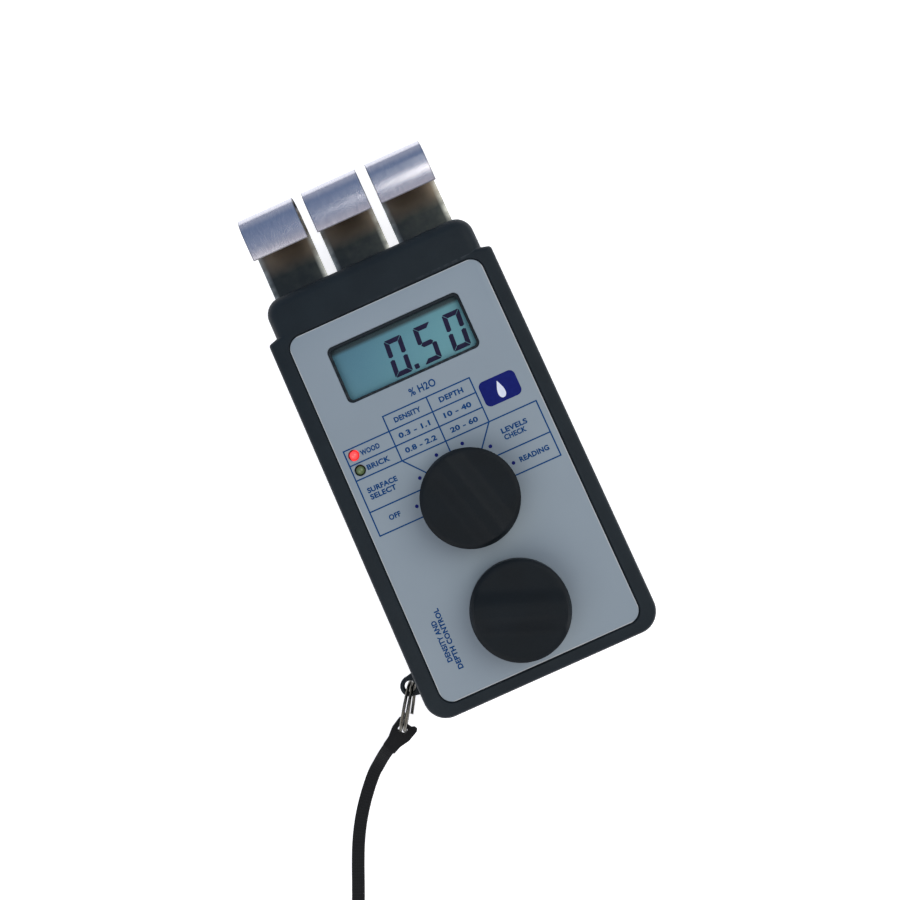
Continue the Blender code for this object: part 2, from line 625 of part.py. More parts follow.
def make_strap(steel, webbing, plastic):
    hole = Vector((LUG_X, LUG_Y, LUG_Z))
    out = Vector((-0.539, -0.842, 0.0)).normalized()
    across = Vector((-out.y, out.x, 0.0))
    drop = math.radians(RING_DROP_DEG)
    centre = hole + RING_R * (math.cos(drop) * out - math.sin(drop) * Vector((0, 0, 1)))

    def ring_point(angle):
        return centre + RING_R * (math.cos(angle) * out + math.sin(angle) * Vector((0, 0, 1)))

    bm = bmesh.new()
    turns, per_turn, wire_sides = 2, 24, 6
    steps = turns * per_turn
    first = math.pi - drop - math.tau * turns * 0.3
    loops = []
    for k in range(steps + 1):
        share = k / steps
        angle = first + math.tau * turns * share
        radial = (ring_point(angle) - centre).normalized()
        middle = ring_point(angle) + across * RING_PITCH * turns * (share - 0.5)
        loop = []
        for j in range(wire_sides):
            b = math.tau * (j + 0.5) / wire_sides
            loop.append(middle + RING_WIRE_R * (radial * math.cos(b) + across * math.sin(b)))
        loops.append(loop)
    loft(bm, loops)
    place("split_ring", bm, steel, (LUG_X, LUG_Y, LUG_Z), smooth=50)

    low = math.radians(EYE_DEG)
    wire = -math.sin(low) * out + math.cos(low) * Vector((0, 0, 1))
    eye = ring_point(low)
    route_start = Vector(STRAP_ROUTE[0])
    heading = route_start - eye
    forward = (heading - wire * heading.dot(wire)).normalized()
    side = wire.cross(forward).normalized()

    def tab_loop(outline, height):
        return [eye + forward * a + side * b + wire * height for a, b in outline]

    bm = bmesh.new()
    tab = rounded([(-2.6, -3.8, 1.2), (3.6, -3.8, 1.2), (8.6, -2.2, 0.5),
                   (8.6, 2.2, 0.5), (3.6, 3.8, 1.2), (-2.6, 3.8, 1.2)], 3)
    loft(bm, [tab_loop(tab, -STRAP_THICKNESS / 2), tab_loop(tab, STRAP_THICKNESS / 2)])
    end = place("strap_end", bm, webbing, (LUG_X, LUG_Y, LUG_Z))
    cut = bmesh.new()
    slot = rectangle(1.5, 2.6, 0.9, 0.6, 0.0, 3)
    loft(cut, [tab_loop(slot, -3), tab_loop(slot, 3)])
    apply_cut(end, "strap_eye", cut)

    cord("wrist_strap", STRAP_ROUTE, STRAP_WIDTH, webbing, 3.2)

    last, before = Vector(STRAP_ROUTE[-1]), Vector(STRAP_ROUTE[-2])
    heading = (last - before).normalized()
    left = Vector((-heading.y, heading.x, 0.0))
    radius = COIL_OUTER_R + GAP + STRAP_WIDTH / 2
    clip_start = last + heading * GAP
    clip_middle = clip_start + heading * CLIP_LENGTH / 2
    centre = clip_middle + left * radius
    bm = bmesh.new()
    outside, inside = -STRAP_WIDTH / 2 - 0.7, radius - COIL_INNER_R + 0.5
    corners = [clip_middle + heading * a + left * b for a, b in
               ((-CLIP_LENGTH / 2, outside), (CLIP_LENGTH / 2, outside),
                (CLIP_LENGTH / 2, inside), (-CLIP_LENGTH / 2, inside))]
    outline = rounded([(c.x, c.y, 1.0) for c in corners], 3)
    loft(bm, [at_height(outline, 0.05), at_height(outline, COIL_HEIGHT + 0.9)])
    place("strap_clip", bm, plastic)

    start = math.atan2(clip_middle.y - centre.y, clip_middle.x - centre.x)
    clear = (CLIP_LENGTH / 2 + 0.9) / COIL_INNER_R
    bm = bmesh.new()
    profile = [(COIL_INNER_R, 0.1), (COIL_OUTER_R, 0.1), (COIL_OUTER_R, COIL_HEIGHT),
               (COIL_INNER_R, COIL_HEIGHT)]
    turned_ring(bm, centre.x, centre.y, profile, 40, start + clear, math.tau - 2 * clear)
    place("strap_coil", bm, webbing, smooth=35)


def main():
    for obj in list(bpy.data.objects):
        bpy.data.objects.remove(obj, do_unlink=True)

    case = material("case_black", (0.018, 0.021, 0.024), 0.48)
    printed = material("panel_grey", (0.25, 0.29, 0.33), 0.38)
    knob = material("knob_black", (0.016, 0.018, 0.021), 0.34)
    steel = material("spring_steel", (0.62, 0.62, 0.63), 0.2, 1.0)
    screw_steel = material("screw_steel", (0.55, 0.55, 0.56), 0.3, 1.0)
    brass = material("brass", (0.78, 0.60, 0.30), 0.3, 1.0)
    glass = material("display_glass", (0.13, 0.27, 0.30), 0.12)
    rubber = material("contact_rubber", (0.30, 0.30, 0.30), 0.7)
    laminate = material("board_green", (0.02, 0.14, 0.06), 0.45)
    chip = material("chip_black", (0.02, 0.02, 0.02), 0.5)
    blue = material("part_blue", (0.03, 0.12, 0.42), 0.4)
    red_led = material("led_red", (0.9, 0.05, 0.05), 0.2)
    green_led = material("led_green", (0.06, 0.12, 0.04), 0.2)
    wrap = material("battery_wrap", (0.05, 0.05, 0.06), 0.35)
    red_wire = material("red_wire", (0.6, 0.03, 0.03), 0.4)
    webbing = material("strap_webbing", (0.012, 0.012, 0.014), 0.8)

    make_rear_shell(case)
    make_front_shell(case)
    make_panel(printed)
    make_display(glass, chip, rubber)
    make_board(laminate, chip, blue, brass)
    make_leds(red_led, green_led)
    make_control(MODE_Y, ("mode_switch", "mode_nut", "mode_shaft"), 12.6, 23.0, screw_steel, chip, brass)
    make_control(LEVEL_Y, ("level_control", "level_nut", "level_shaft"), 8.6, 24.0,
                 screw_steel, chip, brass)
    make_knob("mode_knob", MODE_Y, MODE_POINTER_DEG, knob)
    make_knob("level_knob", LEVEL_Y, LEVEL_POINTER_DEG, knob)
    make_strips(steel, brass)
    make_carrier(chip, screw_steel)
    make_screws(screw_steel)
    make_battery(wrap, chip, red_wire, webbing, case)
    make_strap(steel, webbing, chip)


main()
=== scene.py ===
import math

import bmesh
import bpy
from mathutils import Matrix, Vector


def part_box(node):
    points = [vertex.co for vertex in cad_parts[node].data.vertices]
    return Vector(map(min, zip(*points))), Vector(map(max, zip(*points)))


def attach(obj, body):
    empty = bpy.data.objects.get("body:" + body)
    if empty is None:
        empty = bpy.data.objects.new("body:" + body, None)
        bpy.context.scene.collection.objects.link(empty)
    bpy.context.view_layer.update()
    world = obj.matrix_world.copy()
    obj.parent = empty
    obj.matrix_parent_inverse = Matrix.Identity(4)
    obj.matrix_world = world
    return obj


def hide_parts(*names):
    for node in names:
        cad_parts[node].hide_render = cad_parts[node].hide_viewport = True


# The meter lies on its back on the bench, its strips towards +Y.
# Everything below is drawn in millimetres and turned into metres where a mesh is made.
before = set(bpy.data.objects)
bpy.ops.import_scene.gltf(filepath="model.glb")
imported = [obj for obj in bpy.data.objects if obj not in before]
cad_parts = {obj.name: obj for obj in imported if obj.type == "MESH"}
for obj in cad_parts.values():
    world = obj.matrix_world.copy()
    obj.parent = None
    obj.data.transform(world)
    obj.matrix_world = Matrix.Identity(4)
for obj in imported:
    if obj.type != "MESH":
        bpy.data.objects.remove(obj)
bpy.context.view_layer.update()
mm = 0.001
print("frame loaded:", len(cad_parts), "nodes")


def middleOf(*nodes):
    # the middle of the box round these nodes, in millimetres
    lows, highs = zip(*(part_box(node) for node in nodes))
    low = Vector([min(p[k] for p in lows) for k in range(3)])
    high = Vector([max(p[k] for p in highs) for k in range(3)])
    return (low + high) / 2 / mm


def boxOf(node):
    low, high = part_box(node)
    return low / mm, high / mm


# Shaping tools

def roundedOutline(corners, steps=8):
    # closed outline through (x, y, radius) corners, every corner an arc of the same number of points
    outline = []
    for i, (x, y, radius) in enumerate(corners):
        here = Vector((x, y))
        before = (Vector(corners[i - 1][:2]) - here).normalized()
        after = (Vector(corners[(i + 1) % len(corners)][:2]) - here).normalized()
        half = before.angle(after) / 2
        centre = here + (before + after).normalized() * (radius / math.sin(half))
        start = here + before * (radius / math.tan(half)) - centre
        end = here + after * (radius / math.tan(half)) - centre
        turn = start.angle_signed(end)
        for k in range(steps + 1):
            outline.append(tuple(centre + Matrix.Rotation(-turn * k / steps, 2) @ start))
    return outline


def rectangle(halfX, halfY, radius, x=0.0, y=0.0, steps=8):
    corners = ((-halfX, -halfY), (halfX, -halfY), (halfX, halfY), (-halfX, halfY))
    return roundedOutline([(x + a, y + b, radius) for a, b in corners], steps)


def circle(x, y, radius, sides=48):
    angles = [math.tau * k / sides for k in range(sides)]
    return [(x + radius * math.cos(a), y + radius * math.sin(a)) for a in angles]


def lift(outline, z):
    return [(x, y, z) for x, y in outline]


def loft(bm, loops, closed=False):
    # quads between loops of the same length, with a face over each end, or closed round on itself
    rings = [[bm.verts.new(p) for p in loop] for loop in loops]
    pairs = list(zip(rings, rings[1:]))
    if closed:
        pairs.append((rings[-1], rings[0]))
    count = len(rings[0])
    for low, high in pairs:
        for i in range(count):
            j = (i + 1) % count
            bm.faces.new((low[i], low[j], high[j], high[i]))
    if not closed:
        bm.faces.new(rings[0])
        bm.faces.new(rings[-1])


def turned(bm, x, y, profile, sides=48, closed=False):
    loft(bm, [lift(circle(x, y, radius, sides), z) for radius, z in profile], closed)


def slab(bm, outline, low, high, edge=0.0, edgeSteps=3):
    # a flat piece with rounded upper and lower edges where edge is given; the outline is (x, y, r) corners
    if not edge:
        loft(bm, [lift(roundedOutline(outline), low), lift(roundedOutline(outline), high)])
        return
    middle = Vector((sum(c[0] for c in outline), sum(c[1] for c in outline))) / len(outline)
    loops = []
    turns = [math.radians(90 * k / edgeSteps) for k in range(edgeSteps + 1)]
    for a in turns:
        loops.append((edge * (1 - math.sin(a)), low + edge * (1 - math.cos(a))))
    for a in reversed(turns):
        loops.append((edge * (1 - math.sin(a)), high - edge * (1 - math.cos(a))))
    rings = []
    for inset, z in loops:
        moved = [(x - math.copysign(inset, x - middle.x), y - math.copysign(inset, y - middle.y),
                  max(r - inset, 0.02)) for x, y, r in outline]
        rings.append(lift(roundedOutline(moved), z))
    loft(bm, rings)


def makePiece(name, bm, finish=None, sharp=35):
    # a mesh drawn in millimetres becomes an object in metres
    bmesh.ops.recalc_face_normals(bm, faces=bm.faces)
    bmesh.ops.scale(bm, verts=bm.verts, vec=(mm, mm, mm))
    mesh = bpy.data.meshes.new(name)
    bm.to_mesh(mesh)
    bm.free()
    mesh.shade_smooth()
    mesh.set_sharp_from_angle(angle=math.radians(sharp))
    if finish:
        mesh.materials.append(finish)
    piece = bpy.data.objects.new(name, mesh)
    bpy.context.scene.collection.objects.link(piece)
    return piece


def settle(piece, sharp=35):
    # applies the piece's modifiers
    graph = bpy.context.evaluated_depsgraph_get()
    mesh = bpy.data.meshes.new_from_object(piece.evaluated_get(graph))
    piece.modifiers.clear()
    piece.data = mesh
    mesh.shade_smooth()
    mesh.set_sharp_from_angle(angle=math.radians(sharp))


def carve(piece, bm, how="DIFFERENCE"):
    # cuts a shape out of the piece, or joins it on
    tool = makePiece("tool", bm)
    step = piece.modifiers.new(how, "BOOLEAN")
    step.operation = how
    step.solver = "EXACT"
    step.object = tool
    settle(piece)
    bpy.data.objects.remove(tool)


def fit(piece, body, slot, *nodes):
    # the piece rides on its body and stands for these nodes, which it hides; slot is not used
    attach(piece, body)
    if nodes:
        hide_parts(*nodes)
    return piece


# Finishes

def tint(red, green, blue):
    # a colour as it looks on a screen, 0 to 255
    def linear(value):
        value /= 255
        return value / 12.92 if value <= 0.04045 else ((value + 0.055) / 1.055) ** 2.4
    return (linear(red), linear(green), linear(blue), 1.0)


def addNode(mat, kind, **inputs):
    # a shader node; an input is a value or another node's output
    node = mat.node_tree.nodes.new("ShaderNode" + kind)
    for name, value in inputs.items():
        socket = node.inputs[name.replace("_", " ")]
        if isinstance(value, bpy.types.NodeSocket):
            mat.node_tree.links.new(value, socket)
        else:
            socket.default_value = value
    return node


def shaderOf(mat):
    return mat.node_tree.nodes["Principled BSDF"]


def connect(mat, output, name):
    mat.node_tree.links.new(output, shaderOf(mat).inputs[name])


def startFinish(name, metal=0.0, fixed=None):
    mat = bpy.data.materials.new(name)
    mat.use_nodes = True
    shaderOf(mat).inputs["Metallic"].default_value = metal
    for socket, value in (fixed or {}).items():
        shaderOf(mat).inputs[socket].default_value = value
    return mat


def noise(mat, perMm, stretch=(1, 1, 1), detail=3.0, source="Object"):
    # cloudy noise with about perMm lumps to the millimetre
    where = addNode(mat, "TexCoord").outputs[source]
    size = [perMm / mm * s for s in stretch]
    spread = addNode(mat, "Mapping", Vector=where, Scale=size).outputs["Vector"]
    return addNode(mat, "TexNoise", Vector=spread, Scale=1.0, Detail=detail).outputs["Fac"]


def ramp(mat, factor, low, high, start=0.3, end=0.7):
    node = addNode(mat, "MapRange", Value=factor, From_Min=start, From_Max=end, To_Min=low, To_Max=high)
    return node.outputs["Result"]


def mixTints(mat, factor, first, second):
    node = addNode(mat, "Mix")
    node.data_type = "RGBA"
    sockets = (node.inputs[0], node.inputs[6], node.inputs[7])
    for socket, value in zip(sockets, (factor, first, second)):
        if isinstance(value, bpy.types.NodeSocket):
            mat.node_tree.links.new(value, socket)
        else:
            socket.default_value = value
    return node.outputs[2]


def times(mat, first, second, how="MULTIPLY"):
    node = addNode(mat, "Math")
    node.operation = how
    for socket, value in zip(node.inputs, (first, second)):
        if isinstance(value, bpy.types.NodeSocket):
            mat.node_tree.links.new(value, socket)
        else:
            socket.default_value = value
    return node.outputs[0]


def rough(mat, factor, depth, strength=1.0):
    # bump, depth in millimetres
    node = addNode(mat, "Bump", Height=factor, Distance=depth * mm, Strength=strength)
    connect(mat, node.outputs["Normal"], "Normal")


def finish(name, dark, light, gloss, metal=0.0, cloudPerMm=0.08, grainPerMm=4.0, grainDepth=0.02,
           stretch=(1, 1, 1), wear=None, wearEven=False, fixed=None):
    # the usual finish: two close tints in clouds, uneven roughness, fine grain and pale worn edges
    mat = startFinish(name, metal, fixed)
    clouds = noise(mat, cloudPerMm, detail=4.0)
    base = mixTints(mat, ramp(mat, clouds, 0, 1), dark, light)
    fine = noise(mat, grainPerMm, stretch)
    base = mixTints(mat, ramp(mat, fine, 0.0, 0.25), base, light)
    roughness = ramp(mat, noise(mat, grainPerMm * 0.3, stretch), *gloss)
    if wear:
        corners = addNode(mat, "NewGeometry").outputs["Pointiness"]
        patches = 1.0 if wearEven else ramp(mat, noise(mat, 0.6), 0, 1, 0.42, 0.62)
        worn = times(mat, ramp(mat, corners, 0, 1, 0.53, 0.62), patches)
        base = mixTints(mat, times(mat, worn, 0.55), base, wear)
        roughness = times(mat, roughness, times(mat, worn, 0.08), "SUBTRACT")
    connect(mat, base, "Base Color")
    connect(mat, roughness, "Roughness")
    rough(mat, fine, grainDepth)
    return mat


finishLook = {
    "caseDark": tint(24, 32, 37), "caseLight": tint(29, 38, 43), "caseWorn": tint(60, 66, 70),
    "panelDark": tint(136, 149, 157), "panelLight": tint(140, 153, 161),
    # the next tint is a painted highlight along the panel's edge
    "panelEdgeHighlight": tint(186, 190, 190),
    "inkBlue": tint(4, 58, 108), "badgeBlue": tint(8, 20, 96),
    "knobDark": tint(9, 16, 19), "knobLight": tint(12, 21, 26),
    "steel": tint(206, 206, 212), "steelDark": tint(188, 189, 198),
    # painted light on the strips: dark reflection and shade on the shanks, the curl's brown reflection, highlights on
    # the cupped edges
    "shadeAndReflectionDark": tint(56, 60, 58), "shadeAndReflectionLight": tint(74, 76, 70), "curlReflectionBrown": tint(124, 112, 96),
    "edgeHighlightSteel": tint(206, 206, 194),
    "lcdLeft": tint(68, 114, 132), "lcdRight": tint(88, 143, 151), "segment": tint(24, 22, 48),
    "lcdShadow": tint(12, 20, 26),
}
look = finishLook
casePlastic = finish("case_plastic", look["caseDark"], look["caseLight"], (0.44, 0.58), grainPerMm=5.0,
                     grainDepth=0.03, wear=look["caseWorn"], fixed={"Specular IOR Level": 0.16})
knobPlastic = finish("knob_plastic", look["knobDark"], look["knobLight"], (0.5, 0.62), grainPerMm=7.0,
                     grainDepth=0.012, fixed={"Specular IOR Level": 0.18})
blueInk = finish("blue_ink", look["inkBlue"], tint(10, 66, 118), (0.46, 0.56), cloudPerMm=0.8,
                 grainPerMm=9.0, grainDepth=0.004, fixed={"Specular IOR Level": 0.12})
navyInk = finish("navy_ink", look["badgeBlue"], tint(12, 26, 106), (0.44, 0.55), cloudPerMm=0.8,
                 grainPerMm=9.0, grainDepth=0.004, fixed={"Specular IOR Level": 0.12})
whiteInk = finish("white_ink", tint(214, 222, 236), tint(226, 232, 242), (0.4, 0.5), cloudPerMm=0.8,
                  grainPerMm=9.0, grainDepth=0.006)
bezelPlastic = finish("bezel_plastic", tint(12, 14, 15), tint(18, 20, 21), (0.5, 0.62),
                      grainPerMm=6.0, grainDepth=0.02)
ringSteel = finish("ring_steel", tint(84, 82, 74), tint(108, 105, 96), (0.24, 0.34), metal=1.0,
                   cloudPerMm=0.2, grainPerMm=6.0, grainDepth=0.004)
screwSteel = finish("screw_steel", tint(150, 150, 152), tint(182, 182, 184), (0.28, 0.42), metal=1.0,
                    cloudPerMm=0.3, grainPerMm=3.0, grainDepth=0.01, wear=tint(214, 214, 216))
brass = finish("brass", tint(182, 148, 82), tint(206, 174, 104), (0.26, 0.42), metal=1.0,
               cloudPerMm=0.3, grainPerMm=3.0, grainDepth=0.01, wear=tint(230, 206, 150))
partBlack = finish("part_black", tint(22, 22, 23), tint(31, 31, 32), (0.42, 0.58), cloudPerMm=0.2,
                   grainPerMm=5.0, grainDepth=0.02)
partBlue = finish("part_blue", tint(26, 74, 142), tint(36, 92, 164), (0.34, 0.48), cloudPerMm=0.3,
                  grainPerMm=5.0, grainDepth=0.01)
contactRubber = finish("contact_rubber", tint(128, 124, 122), tint(164, 158, 152), (0.6, 0.78),
                       grainPerMm=3.0, grainDepth=0.03, stretch=(4, 0.2, 0.2))
redWire = finish("red_wire", tint(156, 22, 20), tint(184, 34, 28), (0.36, 0.5), grainPerMm=4.0)
blackWire = finish("black_wire", tint(20, 20, 21), tint(30, 30, 31), (0.36, 0.5), grainPerMm=4.0)
clipPlastic = finish("clip_plastic", tint(20, 21, 23), tint(28, 29, 31), (0.4, 0.54), grainPerMm=5.0,
                     grainDepth=0.02, wear=tint(74, 76, 78))


def makePanelFinish():
    # printed foil with a painted highlight along its edge
    mat = startFinish("panel_foil", fixed={"Specular IOR Level": 0.3})
    place = addNode(mat, "SeparateXYZ", Vector=addNode(mat, "TexCoord").outputs["Object"]).outputs
    low, high = boxOf("front_panel")
    middle, half = (low + high) / 2, (high - low) / 2
    cloud, fine = noise(mat, 0.03), noise(mat, 11.0)
    base = mixTints(mat, ramp(mat, cloud, 0, 1), look["panelDark"], look["panelLight"])
    base = mixTints(mat, ramp(mat, fine, 0.0, 0.15), base, look["panelLight"])
    # painted highlight in a thin band along the panel's edge
    rims = []
    for axis, centre, reach in (("X", middle.x, half.x), ("Y", middle.y, half.y)):
        off = times(mat, times(mat, place[axis], centre * mm, "SUBTRACT"), 0.0, "ABSOLUTE")
        rims.append(ramp(mat, off, 0, 1, (reach - 0.38) * mm, (reach - 0.22) * mm))
    rim = times(mat, rims[0], rims[1], "MAXIMUM")
    connect(mat, mixTints(mat, times(mat, rim, ramp(mat, noise(mat, 0.2), 0.6, 1.0)), base, look["panelEdgeHighlight"]),
            "Base Color")
    connect(mat, ramp(mat, fine, 0.46, 0.56), "Roughness")
    rough(mat, fine, 0.004)
    return mat


def makeSpringFinish():
    # bright rolled tips; painted dark reflection of the surroundings on the shanks, with a painted brown reflection of
    # the curl's underside between them
    mat = startFinish("spring_steel", metal=1.0)
    where = addNode(mat, "TexCoord").outputs["Object"]
    place = addNode(mat, "SeparateXYZ", Vector=where).outputs
    shank = middleOf("contact_strip_middle").z - 6.8
    brushed = noise(mat, 2.2, (3, 0.15, 0.15))
    polished = mixTints(mat, ramp(mat, brushed, 0, 1, 0.35, 0.65), look["steelDark"], look["steel"])
    wander = times(mat, ramp(mat, noise(mat, 0.25), -0.4, 0.4), mm)
    height = times(mat, place["Z"], wander, "ADD")
    reach = times(mat, place["Y"], wander, "ADD")
    # painted brown reflection of the curl's underside, just below the curl
    curlReflectionBand = ramp(mat, reach, 0, 1, 82.0 * mm, 88.5 * mm)
    # painted dark reflection on the shanks, in two close tints
    dark = mixTints(mat, ramp(mat, noise(mat, 0.3), 0, 0.6), look["shadeAndReflectionDark"], look["shadeAndReflectionLight"])
    dark = mixTints(mat, curlReflectionBand, dark, look["curlReflectionBrown"])
    # painted highlights along the cupped edges, which reflect the bright surroundings
    pitch, stripEnd = 23.1, 87.4
    off = times(mat, times(mat, place["X"], 0.3 * mm, "ADD"), pitch / 2 * mm, "PINGPONG")
    sides = times(mat, ramp(mat, off, 0, 1, 7.9 * mm, 9.7 * mm), ramp(mat, noise(mat, 0.22), 0.15, 1.0))
    dark = mixTints(mat, sides, dark, look["edgeHighlightSteel"])
    # painted shade along the side edges and the flap's cut end
    flapEnd = stripEnd * mm
    edgeShade = times(mat, ramp(mat, off, 0, 1, 9.5 * mm, 9.78 * mm),
                    ramp(mat, place["Y"], 1, 0, flapEnd, flapEnd + 0.4 * mm), "MAXIMUM")
    polished = mixTints(mat, times(mat, edgeShade, 0.8), polished, look["shadeAndReflectionDark"])
    # share of the bright tip over the painted dark shank, by height
    aboveShank = ramp(mat, height, 0, 1, (shank + 1.2) * mm, (shank + 4.5) * mm)
    connect(mat, mixTints(mat, aboveShank, dark, polished), "Base Color")
    connect(mat, times(mat, ramp(mat, brushed, 0.2, 0.27), ramp(mat, aboveShank, 0.1, 0.0, 0, 1), "ADD"), "Roughness")
    rough(mat, brushed, 0.0006)
    return mat


def makeDisplayFinish():
    # grey-green liquid crystal that looks bluer and darker towards the left
    mat = startFinish("display_face", fixed={"Coat Weight": 0.2, "Coat Roughness": 0.4,
                                              "Specular IOR Level": 0.3})
    where = addNode(mat, "TexCoord").outputs["Object"]
    across = addNode(mat, "SeparateXYZ", Vector=where).outputs
    middle = middleOf("display_glass")
    alongX = ramp(mat, across["X"], 0, 1, (middle.x - 16) * mm, (middle.x + 20) * mm)
    alongY = ramp(mat, across["Y"], 0.0, 0.35, (middle.y + 10) * mm, (middle.y - 10) * mm)
    shade = times(mat, times(mat, alongX, alongY, "ADD"), ramp(mat, noise(mat, 0.05), 0.94, 1.04))
    base = mixTints(mat, shade, look["lcdLeft"], look["lcdRight"])
    shadow = ramp(mat, across["Y"], 0, 0.95, (middle.y + 6.7) * mm, (middle.y + 7.9) * mm)
    base = mixTints(mat, shadow, base, look["lcdShadow"])
    fine = noise(mat, 12.0)
    connect(mat, mixTints(mat, ramp(mat, fine, 0.0, 0.12), base, tint(150, 196, 200)), "Base Color")
    connect(mat, ramp(mat, fine, 0.44, 0.56), "Roughness")
    rough(mat, fine, 0.004)
    return mat


def makeWebbingFinish():
    # flat braid: ribs across the strap and cords along it, from the strap's own UVs
    mat = startFinish("strap_webbing", fixed={"Specular IOR Level": 0.3})
    along = addNode(mat, "UVMap").outputs["UV"]
    ribs = addNode(mat, "TexWave", Vector=addNode(mat, "Mapping", Vector=along, Scale=(0.0, 0.32, 0.0)).outputs[0],
                   Scale=1.0, Distortion=0.3)
    ribs.bands_direction = "Y"
    cords = addNode(mat, "TexWave", Vector=addNode(mat, "Mapping", Vector=along, Scale=(0.5, 0.04, 0.0)).outputs[0],
                    Scale=1.0, Distortion=0.4)
    cords.bands_direction = "X"
    weave = times(mat, ribs.outputs["Fac"], cords.outputs["Fac"])
    fluff = noise(mat, 9.0)
    height = times(mat, weave, times(mat, fluff, 0.5), "ADD")
    base = mixTints(mat, ramp(mat, height, 0, 1, 0.2, 1.1), tint(10, 12, 13), tint(24, 26, 28))
    connect(mat, base, "Base Color")
    connect(mat, ramp(mat, fluff, 0.72, 0.88), "Roughness")
    rough(mat, height, 0.09)
    return mat


def makeBoardFinish():
    # solder mask over copper tracks
    mat = startFinish("board_green", fixed={"Coat Weight": 0.3, "Coat Roughness": 0.2})
    where = addNode(mat, "TexCoord").outputs["Object"]
    cells = addNode(mat, "TexVoronoi", Vector=where, Scale=0.22 / mm)
    cells.distance = "MANHATTAN"
    cells.feature = "DISTANCE_TO_EDGE"
    tracks = ramp(mat, cells.outputs["Distance"], 1, 0, 0.05, 0.07)
    clouds = ramp(mat, noise(mat, 0.1), 0, 1)
    green = mixTints(mat, clouds, tint(20, 74, 44), tint(28, 88, 52))
    connect(mat, mixTints(mat, times(mat, tracks, 0.6), green, tint(62, 128, 76)), "Base Color")
    connect(mat, ramp(mat, noise(mat, 2.0), 0.3, 0.46), "Roughness")
    rough(mat, tracks, 0.03)
    return mat


def makeLensFinish(name, deep, bright, glow):
    # a lamp's tinted lens, brighter in its middle where the chip is
    mat = startFinish(name, fixed={"Coat Weight": 0.5, "Coat Roughness": 0.1})
    facing = addNode(mat, "LayerWeight", Blend=0.35).outputs["Facing"]
    speck = ramp(mat, noise(mat, 2.5), 0.86, 1.0)
    base = mixTints(mat, times(mat, facing, speck), bright, deep)
    connect(mat, base, "Base Color")
    connect(mat, ramp(mat, noise(mat, 4.0), 0.12, 0.24), "Roughness")
    if glow:
        connect(mat, base, "Emission Color")
        shaderOf(mat).inputs["Emission Strength"].default_value = glow
    rough(mat, noise(mat, 3.0), 0.006)
    return mat


def makeBatteryFinish():
    # a wrapped block cell, dark with a pale band
    mat = startFinish("battery_wrap", fixed={"Coat Weight": 0.4, "Coat Roughness": 0.15})
    where = addNode(mat, "TexCoord").outputs["Object"]
    alongY = addNode(mat, "SeparateXYZ", Vector=where).outputs["Y"]
    low, high = boxOf("battery")
    band = ramp(mat, alongY, 0, 1, (low.y + 12.0) * mm, (low.y + 12.3) * mm)
    dark = mixTints(mat, ramp(mat, noise(mat, 0.2), 0, 1), tint(24, 26, 32), tint(32, 35, 42))
    pale = mixTints(mat, ramp(mat, noise(mat, 0.2), 0, 1), tint(176, 128, 62), tint(188, 142, 76))
    connect(mat, mixTints(mat, band, pale, dark), "Base Color")
    connect(mat, ramp(mat, noise(mat, 1.5), 0.26, 0.4), "Roughness")
    rough(mat, noise(mat, 0.6), 0.03)
    return mat


panelFoil = makePanelFinish()
springSteel = makeSpringFinish()
displayFace = makeDisplayFinish()
segmentInk = finish("segment_ink", look["segment"], tint(34, 30, 58), (0.44, 0.56), cloudPerMm=0.3,
                    grainPerMm=8.0, grainDepth=0.003, fixed={"Specular IOR Level": 0.12})
strapWebbing = makeWebbingFinish()
boardGreen = makeBoardFinish()
redLens = makeLensFinish("led_red", tint(190, 20, 24), tint(255, 66, 66), 1.1)
greenLens = makeLensFinish("led_green", tint(44, 58, 34), tint(96, 116, 70), 0)
batteryWrap = makeBatteryFinish()
print("finishes made")


# Camera, floor and light

cameraSet = {
    "at": (10.95, -13.39, 386.44), "aim": (7.1, 18.86, 35.8), "turn": 24.1,  # millimetres and degrees
    "lens": 43.57, "sensor": 36.0, "shiftY": -0.0556,
}
stageSet = {
    "floorSize": 4000.0, "floorTint": (0.93, 0.93, 0.93, 1.0), "floorGlow": 0.75,
    "horizon": (0.42, 0.46, 0.58, 1.0), "zenith": (0.19, 0.26, 0.42, 1.0), "foot": (0.42, 0.40, 0.47, 1.0),
    "sky": 1.0,
}


def makeCamera():
    data = bpy.data.cameras.new("camera")
    data.lens = cameraSet["lens"]
    data.sensor_width = cameraSet["sensor"]
    data.shift_y = cameraSet["shiftY"]
    data.clip_start = 0.01
    camera = bpy.data.objects.new("camera", data)
    bpy.context.scene.collection.objects.link(camera)
    forward = (Vector(cameraSet["aim"]) - Vector(cameraSet["at"])).normalized()
    turn = math.radians(cameraSet["turn"])
    side = forward.cross(Vector((math.sin(turn), math.cos(turn), 0.0))).normalized()
    up = side.cross(forward)
    pose = Matrix((side, up, -forward)).transposed().to_4x4()
    pose.translation = Vector(cameraSet["at"]) * mm
    camera.matrix_world = pose
    bpy.context.scene.camera = camera


def makeLamp(name, at, aim, size, power, colour=(1.0, 1.0, 1.0)):
    data = bpy.data.lights.new(name, "AREA")
    data.shape = "RECTANGLE"
    data.size, data.size_y = size[0] * mm, size[1] * mm
    data.energy = power
    data.color = colour
    lamp = bpy.data.objects.new(name, data)
    lamp.location = Vector(at) * mm
    lamp.rotation_euler = (Vector(aim) - Vector(at)).to_track_quat("-Z", "Y").to_euler()
    bpy.context.scene.collection.objects.link(lamp)


